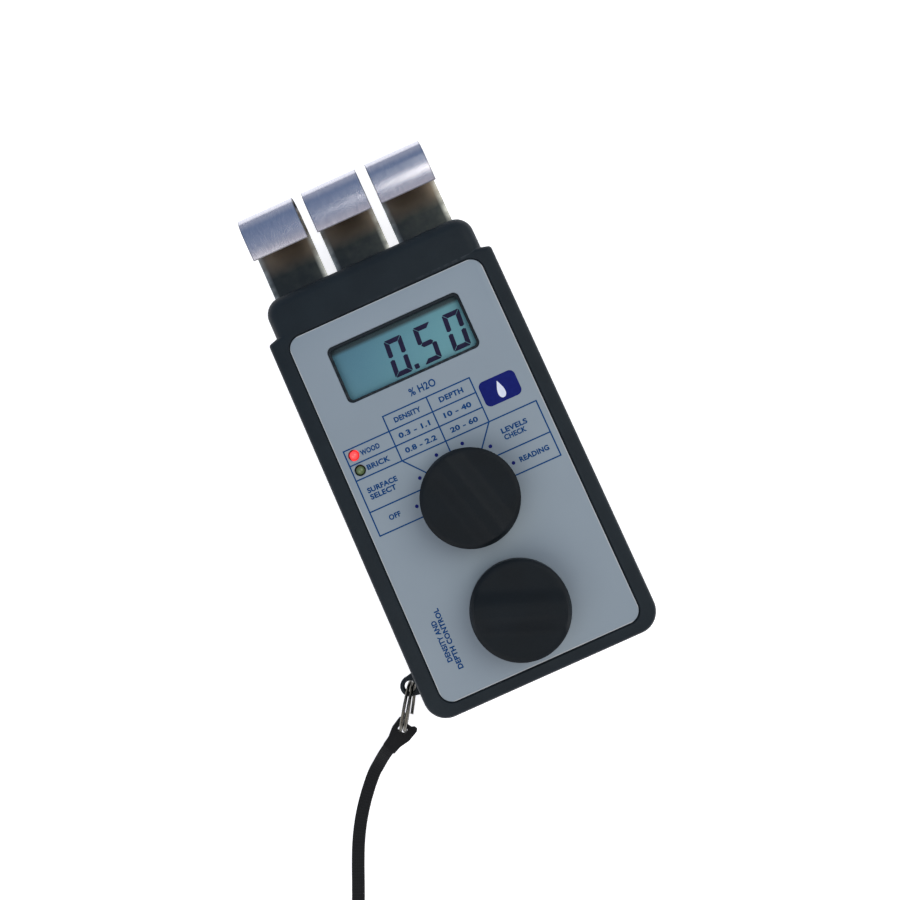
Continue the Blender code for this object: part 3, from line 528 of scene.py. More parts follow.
def makeStage():
    bm = bmesh.new()
    half = stageSet["floorSize"] / 2
    loft(bm, [lift(rectangle(half, half, 40.0), z) for z in (-6.0, -0.05)])
    paper = startFinish("floor_paper")
    base = mixTints(paper, noise(paper, 0.02), stageSet["floorTint"], (0.9, 0.9, 0.9, 1.0))
    connect(paper, base, "Base Color")
    connect(paper, ramp(paper, noise(paper, 0.5), 0.85, 0.95), "Roughness")
    connect(paper, base, "Emission Color")
    shaderOf(paper).inputs["Emission Strength"].default_value = stageSet["floorGlow"]
    rough(paper, noise(paper, 1.0), 0.02)
    makePiece("floor", bm, paper)

    world = bpy.data.worlds.new("studio")
    world.use_nodes = True
    bpy.context.scene.world = world
    nodes, links = world.node_tree.nodes, world.node_tree.links
    where = nodes.new("ShaderNodeTexCoord").outputs["Generated"]
    split = nodes.new("ShaderNodeSeparateXYZ")
    links.new(where, split.inputs[0])
    sky = None
    for axis, near, far, first, second in (("Z", 0.35, 0.8, "horizon", "zenith"), ("Y", -0.08, -0.26, None, "foot")):
        slope = nodes.new("ShaderNodeMapRange")
        slope.inputs["From Min"].default_value = near
        slope.inputs["From Max"].default_value = far
        links.new(split.outputs[axis], slope.inputs["Value"])
        mix = nodes.new("ShaderNodeMix")
        mix.data_type = "RGBA"
        if sky:
            links.new(sky, mix.inputs[6])
        else:
            mix.inputs[6].default_value = stageSet[first]
        mix.inputs[7].default_value = stageSet[second]
        links.new(slope.outputs["Result"], mix.inputs[0])
        sky = mix.outputs[2]
    links.new(sky, nodes["Background"].inputs["Color"])
    nodes["Background"].inputs["Strength"].default_value = stageSet["sky"]

    makeLamp("key", (620, 120, 860), (0, 0, 20), (900, 900), 5.0, (1.0, 0.96, 0.86))
    makeLamp("fill", (-520, -380, 820), (0, 0, 20), (900, 900), 4.0, (1.0, 0.96, 0.87))
    makeLamp("tips", (85, 96, 900), (10, 96, 36), (120, 36), 0.15, (1.0, 0.93, 0.82))
    view = bpy.context.scene.view_settings
    view.view_transform = "Standard"
    view.look = "None"


makeCamera()
makeStage()
print("camera, floor and light made")


# Wrist strap on its split ring. The strap is flat webbing, so its turns stand on their edge in the coil.

strapSet = {
    "width": 4.4, "thickness": 1.5, "step": 1.2, "twistOver": 24.0, "turns": 2.0, "turnGap": 1.8,
    "coilRadius": 24.5, "ringRadius": 8.1, "wireRadius": 0.55, "ringPitch": 1.35, "drop": 25.0,
}
strapRoute = (
    (-60.9, -78.8, 7.9), (-63.1, -80.15, 6.6), (-65.3, -81.75, 4.8), (-67.6, -83.5, 3.2),
    (-70.2, -85.5, 2.45), (-73.7, -89.1, 2.3), (-77.8, -94.0, 2.3), (-81.5, -99.3, 2.3),
    (-84.8, -105.1, 2.3), (-87.7, -111.3, 2.3), (-90.4, -117.6, 2.3), (-93.2, -124.0, 2.3),
    (-96.1, -130.4, 2.3), (-99.1, -136.9, 2.3), (-102.1, -143.4, 2.3),
)
clipLength = 8.0
edgeUp = Vector((0, 0, 1))


def smoothRoute(points, step):
    # points about step apart on a smooth curve through the given ones
    knots = [Vector(p) for p in points]
    padded = [2 * knots[0] - knots[1], *knots, 2 * knots[-1] - knots[-2]]
    fine = []
    for p0, p1, p2, p3 in zip(padded, padded[1:], padded[2:], padded[3:]):
        parts = max(1, round((p2 - p1).length / step))
        for k in range(parts):
            t = k / parts
            fine.append(p1 + t * (p2 - p0) / 2 + t * t * (p0 - 2.5 * p1 + 2 * p2 - p3 / 2)
                        + t ** 3 * (1.5 * p1 - p0 / 2 - 1.5 * p2 + p3 / 2))
    return [*fine, knots[-1]]


def ease(t):
    t = min(max(t, 0.0), 1.0)
    return t * t * (3 - 2 * t)


def sweep(bm, path, sides, section):
    # carries a section along the path; sides holds the across direction at each point
    layer = bm.loops.layers.uv.new("weave")
    rings, lengths, travelled = [], [], 0.0
    for i, here in enumerate(path):
        ahead = (path[min(i + 1, len(path) - 1)] - path[max(i - 1, 0)]).normalized()
        across = (sides[i] - ahead * sides[i].dot(ahead)).normalized()
        over = ahead.cross(across)
        travelled += (here - path[i - 1]).length if i else 0.0
        lengths.append(travelled)
        rings.append([bm.verts.new(here + across * a + over * b) for a, b in section])
    count = len(section)
    for r in range(len(rings) - 1):
        for i in range(count):
            j = (i + 1) % count
            face = bm.faces.new((rings[r][i], rings[r][j], rings[r + 1][j], rings[r + 1][i]))
            corners = ((section[i][0], r), (section[j][0], r), (section[j][0], r + 1), (section[i][0], r + 1))
            for loop, (a, at) in zip(face.loops, corners):
                loop[layer].uv = (a, lengths[at])
    bm.faces.new(rings[0])
    bm.faces.new(rings[-1])


def makeStrap():
    lug = Vector((-44.6, -61.7, 15.3))
    out = Vector((-0.539, -0.842, 0.0)).normalized()
    across = Vector((-out.y, out.x, 0.0))
    drop = math.radians(strapSet["drop"])
    radius = strapSet["ringRadius"]
    centre = lug + radius * (math.cos(drop) * out - math.sin(drop) * edgeUp)

    def ringPoint(angle):
        return centre + radius * (math.cos(angle) * out + math.sin(angle) * edgeUp)

    # two turns of wire
    turns, perTurn = 2, 72
    first = math.pi - drop - math.tau * turns * 0.3
    path, sides = [], []
    for k in range(turns * perTurn + 1):
        share = k / (turns * perTurn)
        angle = first + math.tau * turns * share
        path.append(ringPoint(angle) + across * strapSet["ringPitch"] * turns * (share - 0.5))
        sides.append(across)
    wire = strapSet["wireRadius"]
    bm = bmesh.new()
    sweep(bm, path, sides, circle(0, 0, wire, 14))
    fit(makePiece("ring_wire", bm, ringSteel, 50), "strap", "screw_steel", "split_ring")

    # the moulded end round the ring, with two nubs and an eye
    low = math.radians(-12)
    wireUp = -math.sin(low) * out + math.cos(low) * edgeUp
    eye = ringPoint(low)
    start = Vector(strapRoute[0])
    heading = start - eye
    forward = (heading - wireUp * heading.dot(wireUp)).normalized()
    side = wireUp.cross(forward).normalized()
    bm = bmesh.new()
    outline = [(-2.5, -3.8, 0.8), (-2.5, -2.3, 0.5), (-1.7, -1.6, 0.4), (-1.7, 1.6, 0.4), (-2.5, 2.3, 0.5),
               (-2.5, 3.8, 0.8), (2.4, 3.7, 1.8), (6.2, 2.6, 1.6), (9.4, 2.45, 0.4), (9.4, -2.45, 0.4),
               (6.2, -2.6, 1.6), (2.4, -3.7, 1.8)]
    rings = []
    half, edge = strapSet["thickness"] / 2 + 0.25, 0.4
    for inset, height in ((edge, -half), (0.12, -half + 0.12), (0.0, -half + edge),
                          (0.0, half - edge), (0.12, half - 0.12), (edge, half)):
        flat = roundedOutline(outline, 5)
        middle = Vector((3.2, 0.0))
        ring = []
        for a, b in flat:
            point = Vector((a, b)) - middle
            point -= point.normalized() * inset
            point += middle
            ring.append(eye + forward * point.x + side * point.y + wireUp * height)
        rings.append(ring)
    loft(bm, rings)
    end = makePiece("strap_end_loop", bm, strapWebbing)
    slot = bmesh.new()
    hole = rectangle(1.35, 1.6, 0.8, 0.65, -0.49, 6)
    loft(slot, [[eye + forward * a + side * b + wireUp * h for a, b in hole] for h in (-3.0, 3.0)])
    carve(end, slot)
    fit(end, "strap", "strap_webbing", "strap_end")

    # the strap: flat out to the clip, then on edge round the coil, and its end back in the clip
    halfWide, halfThick = strapSet["width"] / 2, strapSet["thickness"] / 2
    lead = smoothRoute([eye + forward * 7.9, *strapRoute], strapSet["step"])
    away = (Vector(strapRoute[-1]) - Vector(strapRoute[-2])).normalized()
    left = Vector((-away.y, away.x, 0.0))
    leadRadius = 25.3 + strapSet["width"] / 2
    clipMiddle = Vector(strapRoute[-1]) + away * (0.3 + clipLength / 2)
    coilMiddle = clipMiddle + left * leadRadius
    lead += [lead[-1] + away * (0.3 + clipLength / 2) * k / 4 for k in (1, 2, 3)]
    clipAngle = math.atan2(-left.y, -left.x)
    perTurn = 96
    coil = []
    for k in range(int(perTurn * strapSet["turns"]) + 1):
        share = k / perTurn
        settled = ease(share / 0.16)
        here = leadRadius + (strapSet["coilRadius"] - leadRadius) * settled - strapSet["turnGap"] * share
        angle = clipAngle + math.tau * share
        coil.append(coilMiddle + here * Vector((math.cos(angle), math.sin(angle), 0.0)))
    lengths = [0.0]
    for a, b in zip(lead, lead[1:]):
        lengths.append(lengths[-1] + (b - a).length)
    path, sides = [], []
    for i, point in enumerate(lead):
        ahead = (lead[min(i + 1, len(lead) - 1)] - lead[max(i - 1, 0)]).normalized()
        flatSide = Vector((-ahead.y, ahead.x, 0.0))
        onEdge = ease((lengths[i] - lengths[-1] + strapSet["twistOver"]) / (strapSet["twistOver"] - 5.0))
        turn = onEdge * math.pi / 2
        lying = ease(lengths[i] / 12.0)
        tilted = side.lerp(flatSide, lying)
        # lower it until its lower edge rests on the bench
        sink = halfWide - (halfWide * math.sin(turn) + halfThick * math.cos(turn))
        path.append(point - edgeUp * sink * lying)
        sides.append(tilted * math.cos(turn) + edgeUp * math.sin(turn))
    path += coil
    sides += [edgeUp] * len(coil)
    section = rectangle(strapSet["width"] / 2, strapSet["thickness"] / 2, 0.45, steps=3)
    bm = bmesh.new()
    sweep(bm, path, sides, section)
    strap = makePiece("strap_band", bm, strapWebbing, 60)
    fit(strap, "strap", "strap_webbing", "wrist_strap", "strap_coil")

    # the clip that closes the loop
    bm = bmesh.new()
    outside, inside = -strapSet["width"] / 2 - 0.7, leadRadius - 18.8
    corners = []
    for a, b in ((-clipLength / 2, outside), (clipLength / 2, outside),
                 (clipLength / 2, inside), (-clipLength / 2, inside)):
        corners.append(clipMiddle + away * a + left * b)
    outline = [(c.x, c.y, 1.0) for c in corners]
    loops = []
    middle = sum((Vector((c.x, c.y)) for c in corners), Vector((0, 0))) / 4
    low, high, edge = 0.1, 5.6, 0.5
    for inset, z in ((edge, low), (0.15, low + 0.15), (0.0, low + edge),
                     (0.0, high - edge), (0.15, high - 0.15), (edge, high)):
        loops.append([(*((Vector(p) - middle) * (1 - inset / 5.5) + middle), z) for p in roundedOutline(outline, 5)])
    loft(bm, loops)
    clip = makePiece("strap_clip_body", bm, clipPlastic)
    fit(clip, "strap", "part_black", "strap_clip")
    total = sum((b - a).length for a, b in zip(path, path[1:]))
    print("strap length", round(total, 1), "mm")


makeStrap()
print("strap made")


# Case: two shells that meet in a rebated seam, seen as a fine dark line

caseSet = {
    "halfWidth": 40.0, "halfLength": 73.65, "headHalfWidth": 37.0, "shoulderLow": 59.85, "shoulderHigh": 60.95,
    "footRadius": 7.5, "headRadius": 6.0, "seamHeight": 17.0, "seamGap": 0.3, "faceHeight": 36.0,
    "wall": 2.2, "floor": 2.4, "ceiling": 33.6, "edgeSteps": 9,
    "faceInset": 1.5, "faceDrop": 2.2, "headInset": 4.2, "headDrop": 4.4, "backInset": 2.0, "backDrop": 2.2,
}
panelSet = {
    "middle": (0.3, -5.35), "half": (34.35, 63.8), "radius": 4.4, "top": 35.8, "thickness": 0.5,
    "recessGap": 0.35, "edge": 0.14, "window": (0.15, 40.75), "windowHalf": (23.45, 9.9), "windowRadius": 2.0,
    "bezelX": 0.9, "bezelY": 0.95, "lampHole": 1.85,
}
knobSet = {
    "x": 0.4, "mode": (-12.6, 15.0), "level": (-50.7, 69.0),  # place along the case, degrees the bar points to
    "radius": 15.9, "base": 36.7, "rim": 45.4, "grip": 2.6, "sides": 120, "edge": 0.9,
}
lampSet = {"x": -28.65, "red": 15.25, "green": 10.0, "radius": 1.5, "base": 35.2}
stripSet = {
    "x": (-23.4, -0.3, 22.8), "halfWidth": 9.85, "thickness": 0.45, "height": 23.15, "tail": 69.9,
    "curlRadius": 6.75, "curl": 96.4, "flapEnd": 87.4, "flapDrop": 1.4, "cup": 0.34, "slices": 25,
}
screwPlaces = ((-33.0, -66.5), (33.0, -66.5), (-33.0, 54.0), (33.0, 54.0))


def caseOutline(inset, headInset=None):
    # the case from the front: round foot corners and a narrower head
    s = caseSet
    head = inset if headInset is None else headInset
    side, bottom, neck = s["halfWidth"] - inset, -s["halfLength"] + inset, s["headHalfWidth"] - head
    foot = max(s["footRadius"] - inset, 1.0)
    round_ = max(s["headRadius"] - head * 0.6, 1.0)
    low, high, top = s["shoulderLow"] - inset, s["shoulderHigh"] - inset * 0.6, s["halfLength"] - head
    return roundedOutline([
        (-side, bottom, foot), (side, bottom, foot), (side, low, 1.2), (neck, high, 0.7),
        (neck, top, round_), (-neck, top, round_), (-neck, high, 0.7), (-side, low, 1.2)], 14)


def roundOff(depth, inset, drop):
    # how far an edge of that inset and drop stands back at a depth below its face
    if depth >= drop:
        return 0.0
    return inset * (1 - math.sqrt(1 - (1 - depth / drop) ** 2))


def makeShells():
    s, p = caseSet, panelSet
    seam, top = s["seamHeight"], s["faceHeight"]
    rebate = s["wall"] * 0.55
    # rear shell: rounded back edge, a tongue inside the seam, and a hollow middle
    loops = []
    for k in range(s["edgeSteps"] + 1):
        depth = s["backDrop"] * (1 - math.cos(math.radians(90 * k / s["edgeSteps"])))
        loops.append(lift(caseOutline(roundOff(depth, s["backInset"], s["backDrop"])), depth))
    loops.append(lift(caseOutline(0.0), seam - 0.25))
    loops.append(lift(caseOutline(0.2), seam))
    loops.append(lift(caseOutline(rebate), seam))
    loops.append(lift(caseOutline(rebate + 0.1), seam + 1.9))
    loops.append(lift(caseOutline(s["wall"]), seam + 1.9))
    loops.append(lift(caseOutline(s["wall"]), s["floor"]))
    bm = bmesh.new()
    loft(bm, loops)
    rear = makePiece("rear_case", bm, casePlastic)

    posts = bmesh.new()
    for x, y in screwPlaces:
        turned(posts, x, y, [(3.3, 1.5), (3.2, seam - 0.2)], 32)
    carve(rear, posts, "UNION")
    posts = bmesh.new()
    for x in (-11.85, 11.25):
        turned(posts, x, 66.5, [(2.6, 1.5), (2.5, 13.6)], 32)
    carve(rear, posts, "UNION")
    bay = bmesh.new()
    outer, inner, far, end = 17.0, 15.6, -14.9, -s["halfLength"] + 1.6
    outline = [(-outer, end), (-inner, end), (-inner, far), (inner, far), (inner, end), (outer, end),
               (outer, far + 1.5), (-outer, far + 1.5)]
    loft(bay, [lift(outline, 1.4), lift(outline, seam - 0.2)])
    carve(rear, bay, "UNION")

    # the strap lug, with rounded rims
    lug = bmesh.new()
    arc = [math.radians(90 + 180 * k / 24) for k in range(25)]
    loops = []
    for inset, z in ((0.45, 14.2), (0.13, 14.33), (0.0, 14.65), (0.0, 15.95), (0.13, 16.27), (0.45, 16.4)):
        outline = [(-44.6 + (3.4 - inset) * math.cos(a), -61.7 + (3.4 - inset) * math.sin(a)) for a in arc]
        outline += [(-38.9, -66.3 + inset), (-38.9, -57.1 - inset)]
        loops.append(lift(outline, z))
    loft(lug, loops)
    carve(rear, lug, "UNION")

    cuts = bmesh.new()
    opening = 15.3
    slab(cuts, [(-opening, -s["halfLength"] - 5, 0.6), (opening, -s["halfLength"] - 5, 0.6),
                (opening, -15.5, 0.6), (-opening, -15.5, 0.6)], -2.0, s["floor"] + 0.4)
    turned(cuts, -44.6, -61.7, [(2.6, 12.0), (2.3, 14.25), (1.9, 14.7), (1.9, 15.9), (2.3, 16.35), (2.6, 18.0)], 32)
    for x, y in screwPlaces:
        turned(cuts, x, y, [(3.5, -1.0), (3.3, 0.05), (3.0, 0.35), (3.0, 2.2), (1.7, 3.4), (1.7, seam + 2)], 32)
    carve(rear, cuts)
    notch = bmesh.new()
    loft(notch, [lift(rectangle(7.0, 2.2, 0.6, 0.0, -14.1), 13.0), lift(rectangle(7.0, 2.2, 0.6, 0.0, -14.1), 22.0)])
    carve(rear, notch)
    fit(rear, "case", "case_black", "rear_shell")

    # front shell: soft rounded face edge, a wider slope round the head
    base = seam + s["seamGap"]
    loops = []
    steps = s["edgeSteps"]
    for k in range(steps + 1):
        depth = s["headDrop"] * (1 - math.cos(math.radians(90 * k / steps)))
        loops.append(lift(caseOutline(roundOff(depth, s["faceInset"], s["faceDrop"]),
                                      roundOff(depth, s["headInset"], s["headDrop"])), top - depth))
    loops.append(lift(caseOutline(0.0), base + 0.25))
    loops.append(lift(caseOutline(0.2), base))
    loops.append(lift(caseOutline(rebate - 0.15), base))
    loops.append(lift(caseOutline(rebate - 0.15), seam + 2.1))
    loops.append(lift(caseOutline(s["wall"]), seam + 2.1))
    loops.append(lift(caseOutline(s["wall"]), s["ceiling"] - 3.2))
    loops.append(lift(caseOutline(s["wall"], s["wall"] + 2.4), s["ceiling"]))
    bm = bmesh.new()
    loft(bm, loops)
    front = makePiece("front_case", bm, casePlastic)

    posts = bmesh.new()
    for x, y in screwPlaces:
        turned(posts, x, y, [(3.2, seam + 0.6), (3.4, s["ceiling"] + 0.8)], 32)
    for x, y in ((-25.0, -58.5), (25.0, -58.5), (-25.0, 20.8), (25.0, 20.8)):
        turned(posts, x, y, [(2.4, 22.9), (2.6, s["ceiling"] + 0.8)], 32)
    carve(front, posts, "UNION")

    x, y = p["middle"]
    recess = bmesh.new()
    loops = []
    for grow, z in ((0.0, p["top"] - 0.8), (0.0, top - 0.22), (0.25, top + 0.01), (0.6, top + 0.4)):
        grow += p["recessGap"]
        loops.append(lift(rectangle(p["half"][0] + grow, p["half"][1] + grow, p["radius"] + grow, x, y), z))
    loft(recess, loops)
    carve(front, recess)

    cuts = bmesh.new()
    x, y = p["window"]
    halfX, halfY = p["windowHalf"][0] - p["bezelX"], p["windowHalf"][1] - p["bezelY"]
    loops = []
    for grow, z in ((0.0, s["ceiling"] - 2), (0.0, p["top"] - 0.95), (0.15, p["top"] - 0.8), (0.4, p["top"])):
        loops.append(lift(rectangle(halfX + grow, halfY + grow, 1.4 + grow, x, y), z))
    loft(cuts, loops)
    for y in (knobSet["mode"][0], knobSet["level"][0]):
        turned(cuts, knobSet["x"], y, [(4.9, s["ceiling"] - 2), (4.9, top + 4)], 48)
    for y in (lampSet["red"], lampSet["green"]):
        turned(cuts, lampSet["x"], y, [(p["lampHole"], s["ceiling"] - 2), (p["lampHole"], top + 4)], 32)
    for x, y in (*screwPlaces, (-25.0, -58.5), (25.0, -58.5), (-25.0, 20.8), (25.0, 20.8)):
        turned(cuts, x, y, [(1.15, seam - 2), (1.15, 28.5)], 24)
    carve(front, cuts)
    cuts = bmesh.new()
    height, low, high = stripSet["height"], s["halfLength"] - 4, s["halfLength"] + 4
    for x in stripSet["x"]:
        slotShape = roundedOutline([(x - 10.3, height - 0.85, 0.3), (x + 10.3, height - 0.85, 0.3),
                                    (x + 10.3, height + 0.85, 0.3), (x - 10.3, height + 0.85, 0.3)], 3)
        loft(cuts, [[(a, at, b) for a, b in slotShape] for at in (low, high)])
    carve(front, cuts)
    fit(front, "case", "case_black", "front_shell")
    print("shells made")


def makePanel():
    # the printed panel is a thin plate with softly rounded edges, cut out for the window, lamps and shafts
    p = panelSet
    x, y = p["middle"]
    low, edge = p["top"] - p["thickness"], p["edge"]
    loops = []
    for inset, z in ((0.0, low), (0.0, p["top"] - edge), (edge * 0.3, p["top"] - edge * 0.3), (edge, p["top"])):
        loops.append(lift(rectangle(p["half"][0] - inset, p["half"][1] - inset, p["radius"] - inset, x, y, 14), z))
    bm = bmesh.new()
    loft(bm, loops)
    panel = makePiece("printed_panel", bm, panelFoil)
    cuts = bmesh.new()
    x, y = p["window"]
    loops = []
    for grow, z in ((0.0, low - 1), (0.0, p["top"] - edge), (edge * 0.8, p["top"] + 0.02), (edge * 3, p["top"] + 0.5)):
        loops.append(lift(rectangle(p["windowHalf"][0] + grow, p["windowHalf"][1] + grow,
                                    p["windowRadius"] + grow, x, y), z))
    loft(cuts, loops)
    for y in (knobSet["mode"][0], knobSet["level"][0]):
        turned(cuts, knobSet["x"], y, [(7.2, low - 1), (7.2, p["top"] + 1)], 48)
    for y in (lampSet["red"], lampSet["green"]):
        turned(cuts, lampSet["x"], y, [(p["lampHole"], low - 1), (p["lampHole"], p["top"] - 0.1),
                                       (p["lampHole"] + 0.14, p["top"] + 0.04)], 32)
    carve(panel, cuts)
    fit(panel, "case", "panel_grey", "front_panel")


# Print on the panel, placed from the panel's middle: a blue table, dots, captions and a badge

printSet = {
    "thickness": 0.03, "line": 0.45, "dotRadius": 0.6, "dotCircle": 17.6,
    "left": -31.6, "rangeLeft": -15.35, "split": 0.1, "rangeRight": 15.4, "right": 32.0,
    "head": 28.25, "woodTop": 23.0, "brickTop": 17.75, "rangeFoot": 12.6, "offTop": 1.6, "foot": -6.6,
    "captions": (  # words, middle, width and height, degrees turned
        ("% H2O", (0.25, 31.7), (9.2, 2.6), 0), ("WOOD", (-23.35, 20.3), (6.7, 1.8), 0),
        ("BRICK", (-22.6, 15.2), (8.0, 1.8), 0), ("SURFACE", (-24.3, 8.25), (10.4, 1.8), 0),
        ("SELECT", (-24.9, 5.95), (9.0, 1.8), 0), ("OFF", (-24.6, -2.5), (4.0, 1.8), 0),
        ("DENSITY", (-7.7, 25.6), (9.4, 1.8), 0), ("DEPTH", (7.75, 25.6), (8.4, 1.8), 0),
        ("0.3 - 1.1", (-7.6, 20.3), (11.0, 1.8), 0), ("10 - 40", (7.7, 20.3), (9.6, 1.8), 0),
        ("0.8 - 2.2", (-7.6, 15.1), (11.0, 1.8), 0), ("20 - 60", (7.7, 15.1), (9.6, 1.8), 0),
        ("LEVELS", (22.2, 8.1), (9.0, 1.8), 0), ("CHECK", (21.6, 5.85), (7.6, 1.8), 0),
        ("READING", (24.45, -2.6), (10.2, 1.8), 0), ("DENSITY AND", (-27.05, -45.0), (13.8, 1.8), 90),
        ("DEPTH CONTROL", (-24.75, -45.0), (20.4, 1.8), 90),
    ),
}
badgeSet = {"middle": (23.1, 21.0), "half": (6.3, 4.3), "radius": 1.9}


def captionMesh(words, middle, size, turned_, height):
    # words as a thin raised mesh, fitted to their width and height
    curve = bpy.data.curves.new("words", "FONT")
    curve.body = words
    curve.resolution_u = 5
    curve.extrude = 0.5
    curve.offset = 0.026 if "%" in words else 0.042  # letter boldness
    curve.space_character = 1.06
    holder = bpy.data.objects.new("words", curve)
    bpy.context.scene.collection.objects.link(holder)
    graph = bpy.context.evaluated_depsgraph_get()
    mesh = bpy.data.meshes.new_from_object(holder.evaluated_get(graph))
    bpy.data.objects.remove(holder)
    xs, ys = [v.co.x for v in mesh.vertices], [v.co.y for v in mesh.vertices]
    spread, centre = (max(xs) - min(xs), max(ys) - min(ys)), ((max(xs) + min(xs)) / 2, (max(ys) + min(ys)) / 2)
    turn = Matrix.Rotation(math.radians(turned_), 2)
    for v in mesh.vertices:
        flat = Vector(((v.co.x - centre[0]) * size[0] / spread[0], (v.co.y - centre[1]) * size[1] / spread[1]))
        flat = turn @ flat + Vector(middle)
        v.co = (flat.x, flat.y, height + (v.co.z + 0.5) * printSet["thickness"])
    return mesh


def bar(bm, start, end, width, low, high):
    start, end = Vector(start), Vector(end)
    along = (end - start).normalized() * width / 2
    across = Vector((-along.y, along.x))
    outline = [start - along - across, end + along - across, end + along + across, start - along + across]
    loft(bm, [lift([tuple(p) for p in outline], z) for z in (low, high)])


def makePrint():
    s, (panelX, panelY) = printSet, panelSet["middle"]
    low = panelSet["top"] + 0.004
    high = low + s["thickness"]
    knobMiddle = (knobSet["x"], knobSet["mode"][0])

    def place(x, y):
        return (panelX + x, panelY + y)

    lines = [((s["rangeLeft"], s["head"]), (s["rangeRight"], s["head"])),
             ((s["left"], s["woodTop"]), (s["rangeRight"], s["woodTop"])),
             ((s["left"], s["brickTop"]), (s["rangeRight"], s["brickTop"])),
             ((s["left"], s["rangeFoot"]), (s["right"], s["rangeFoot"])),
             ((s["left"], s["offTop"]), (s["right"], s["offTop"])),
             ((s["left"], s["foot"]), (s["right"], s["foot"])),
             ((s["left"], s["woodTop"]), (s["left"], s["foot"])),
             ((s["rangeLeft"], s["head"]), (s["rangeLeft"], s["rangeFoot"])),
             ((s["split"], s["head"]), (s["split"], 0.0)),
             ((s["rangeRight"], s["head"]), (s["rangeRight"], s["rangeFoot"])),
             ((s["right"], s["rangeFoot"]), (s["right"], s["foot"])),
             ((s["rangeLeft"], s["rangeFoot"]), (-7.8, 3.6)), ((s["rangeRight"], s["rangeFoot"]), (7.9, 3.4))]
    table = None
    for start, end in lines:
        bm = bmesh.new()
        bar(bm, place(*start), place(*end), s["line"], low, high)
        if table is None:
            table = makePiece("panel_table", bm, blueInk)
        else:
            carve(table, bm, "UNION")
    hole = bmesh.new()
    turned(hole, *knobMiddle, [(14.4, low - 1), (14.4, high + 1)], 96)
    carve(table, hole)
    fit(table, "case", "panel_grey")

    bm = bmesh.new()
    for step in (-75, -45, -15, 15, 45, 75):
        a = math.radians(90 - step)
        turned(bm, knobMiddle[0] + s["dotCircle"] * math.cos(a), knobMiddle[1] + s["dotCircle"] * math.sin(a),
               [(s["dotRadius"], low), (s["dotRadius"], high)], 24)
    fit(makePiece("panel_dots", bm, navyInk), "case", "panel_grey")

    bm = bmesh.new()
    for words, middle, size, turned_ in s["captions"]:
        mesh = captionMesh(words, place(*middle), size, turned_, low)
        bm.from_mesh(mesh)
    bmesh.ops.remove_doubles(bm, verts=bm.verts, dist=1e-5)
    fit(makePiece("panel_captions", bm, blueInk), "case", "panel_grey")

    # a plain rounded badge with a drop on it
    x, y = place(*badgeSet["middle"])
    bm = bmesh.new()
    outline = rectangle(*badgeSet["half"], badgeSet["radius"], x, y, 10)
    loft(bm, [lift(outline, low), lift(outline, high)])
    fit(makePiece("panel_badge", bm, navyInk), "case", "panel_grey")
    drop = []
    for k in range(48):
        t = math.tau * k / 48
        drop.append((x + 1.75 * math.sin(t) * math.sin(t / 2) ** 1.3, y - 0.2 + 2.9 * math.cos(t)))
    bm = bmesh.new()
    loft(bm, [lift(drop, high + 0.003), lift(drop, high + 0.03)])
    fit(makePiece("badge_drop", bm, whiteInk), "case", "panel_grey")
    print("panel printed")


# Display: cell, seven-segment figures

displaySet = {
    "figures": "0.50", "height": 12.7, "width": 6.7, "pitch": 10.45, "lastMiddle": 17.8, "foot": 38.25,
    "stroke": 1.6, "slantDeg": 4.5, "gap": 0.1, "point": (1.5, 39.05), "pointSize": 1.6,
}
segments = {"0": "abcdef", "5": "acdfg"}


def segmentOutline(name, width, height, stroke, gap):
    # one bar of a figure whose lower left corner is at 0, 0; the long bars have pointed ends at the middle
    half, mid = stroke / 2, height / 2
    w, h, s, g, m = width, height, stroke, gap, half * 0.85
    shapes = {
        "a": [(g, h), (w - g, h), (w - s - g, h - s), (s + g, h - s)],
        "d": [(g, 0), (s + g, s), (w - s - g, s), (w - g, 0)],
        "g": [(half + g, mid), (s + g, mid + half), (w - s - g, mid + half), (w - half - g, mid),
              (w - s - g, mid - half), (s + g, mid - half)],
        "f": [(0, h - g), (s, h - s - g), (s, mid + m), (half, mid + 0.5 * m), (0, mid + m)],
        "e": [(0, g), (0, mid - m), (half, mid - 0.5 * m), (s, mid - m), (s, s + g)],
        "b": [(w, h - g), (w, mid + m), (w - half, mid + 0.5 * m), (w - s, mid + m), (w - s, h - s - g)],
        "c": [(w, g), (w - s, s + g), (w - s, mid - m), (w - half, mid - 0.5 * m), (w, mid - m)],
    }
    return shapes[name]


def makeDisplay():
    s = displaySet
    low, high = boxOf("display_glass")
    bm = bmesh.new()
    slab(bm, [(low.x, low.y, 0.3), (high.x, low.y, 0.3), (high.x, high.y, 0.3), (low.x, high.y, 0.3)],
         low.z, high.z, 0.25)
    fit(makePiece("display_cell", bm, displayFace), "case", "display_face", "display_glass")
    panelX, panelY = panelSet["middle"]
    face = high.z + 0.004
    slant = math.tan(math.radians(s["slantDeg"]))
    bm = bmesh.new()
    digits = s["figures"].replace(".", "")
    for place, digit in enumerate(digits):
        left = s["lastMiddle"] - s["pitch"] * (len(digits) - 1 - place) - s["width"] / 2
        for name in segments[digit]:
            shape = segmentOutline(name, s["width"] - s["height"] * slant * 0.5, s["height"], s["stroke"], s["gap"])
            outline = [(panelX + left + x + y * slant, panelY + s["foot"] + y, 0.16) for x, y in shape]
            rounded = roundedOutline(outline, 2)
            loft(bm, [lift(rounded, face), lift(rounded, face + 0.03)])
    x, y = s["point"]
    half = s["pointSize"] / 2
    dot = rectangle(half, half, 0.3, panelX + x, panelY + y, 3)
    loft(bm, [lift(dot, face), lift(dot, face + 0.03)])
    fit(makePiece("display_figures", bm, segmentInk, 20), "case", "display_face")


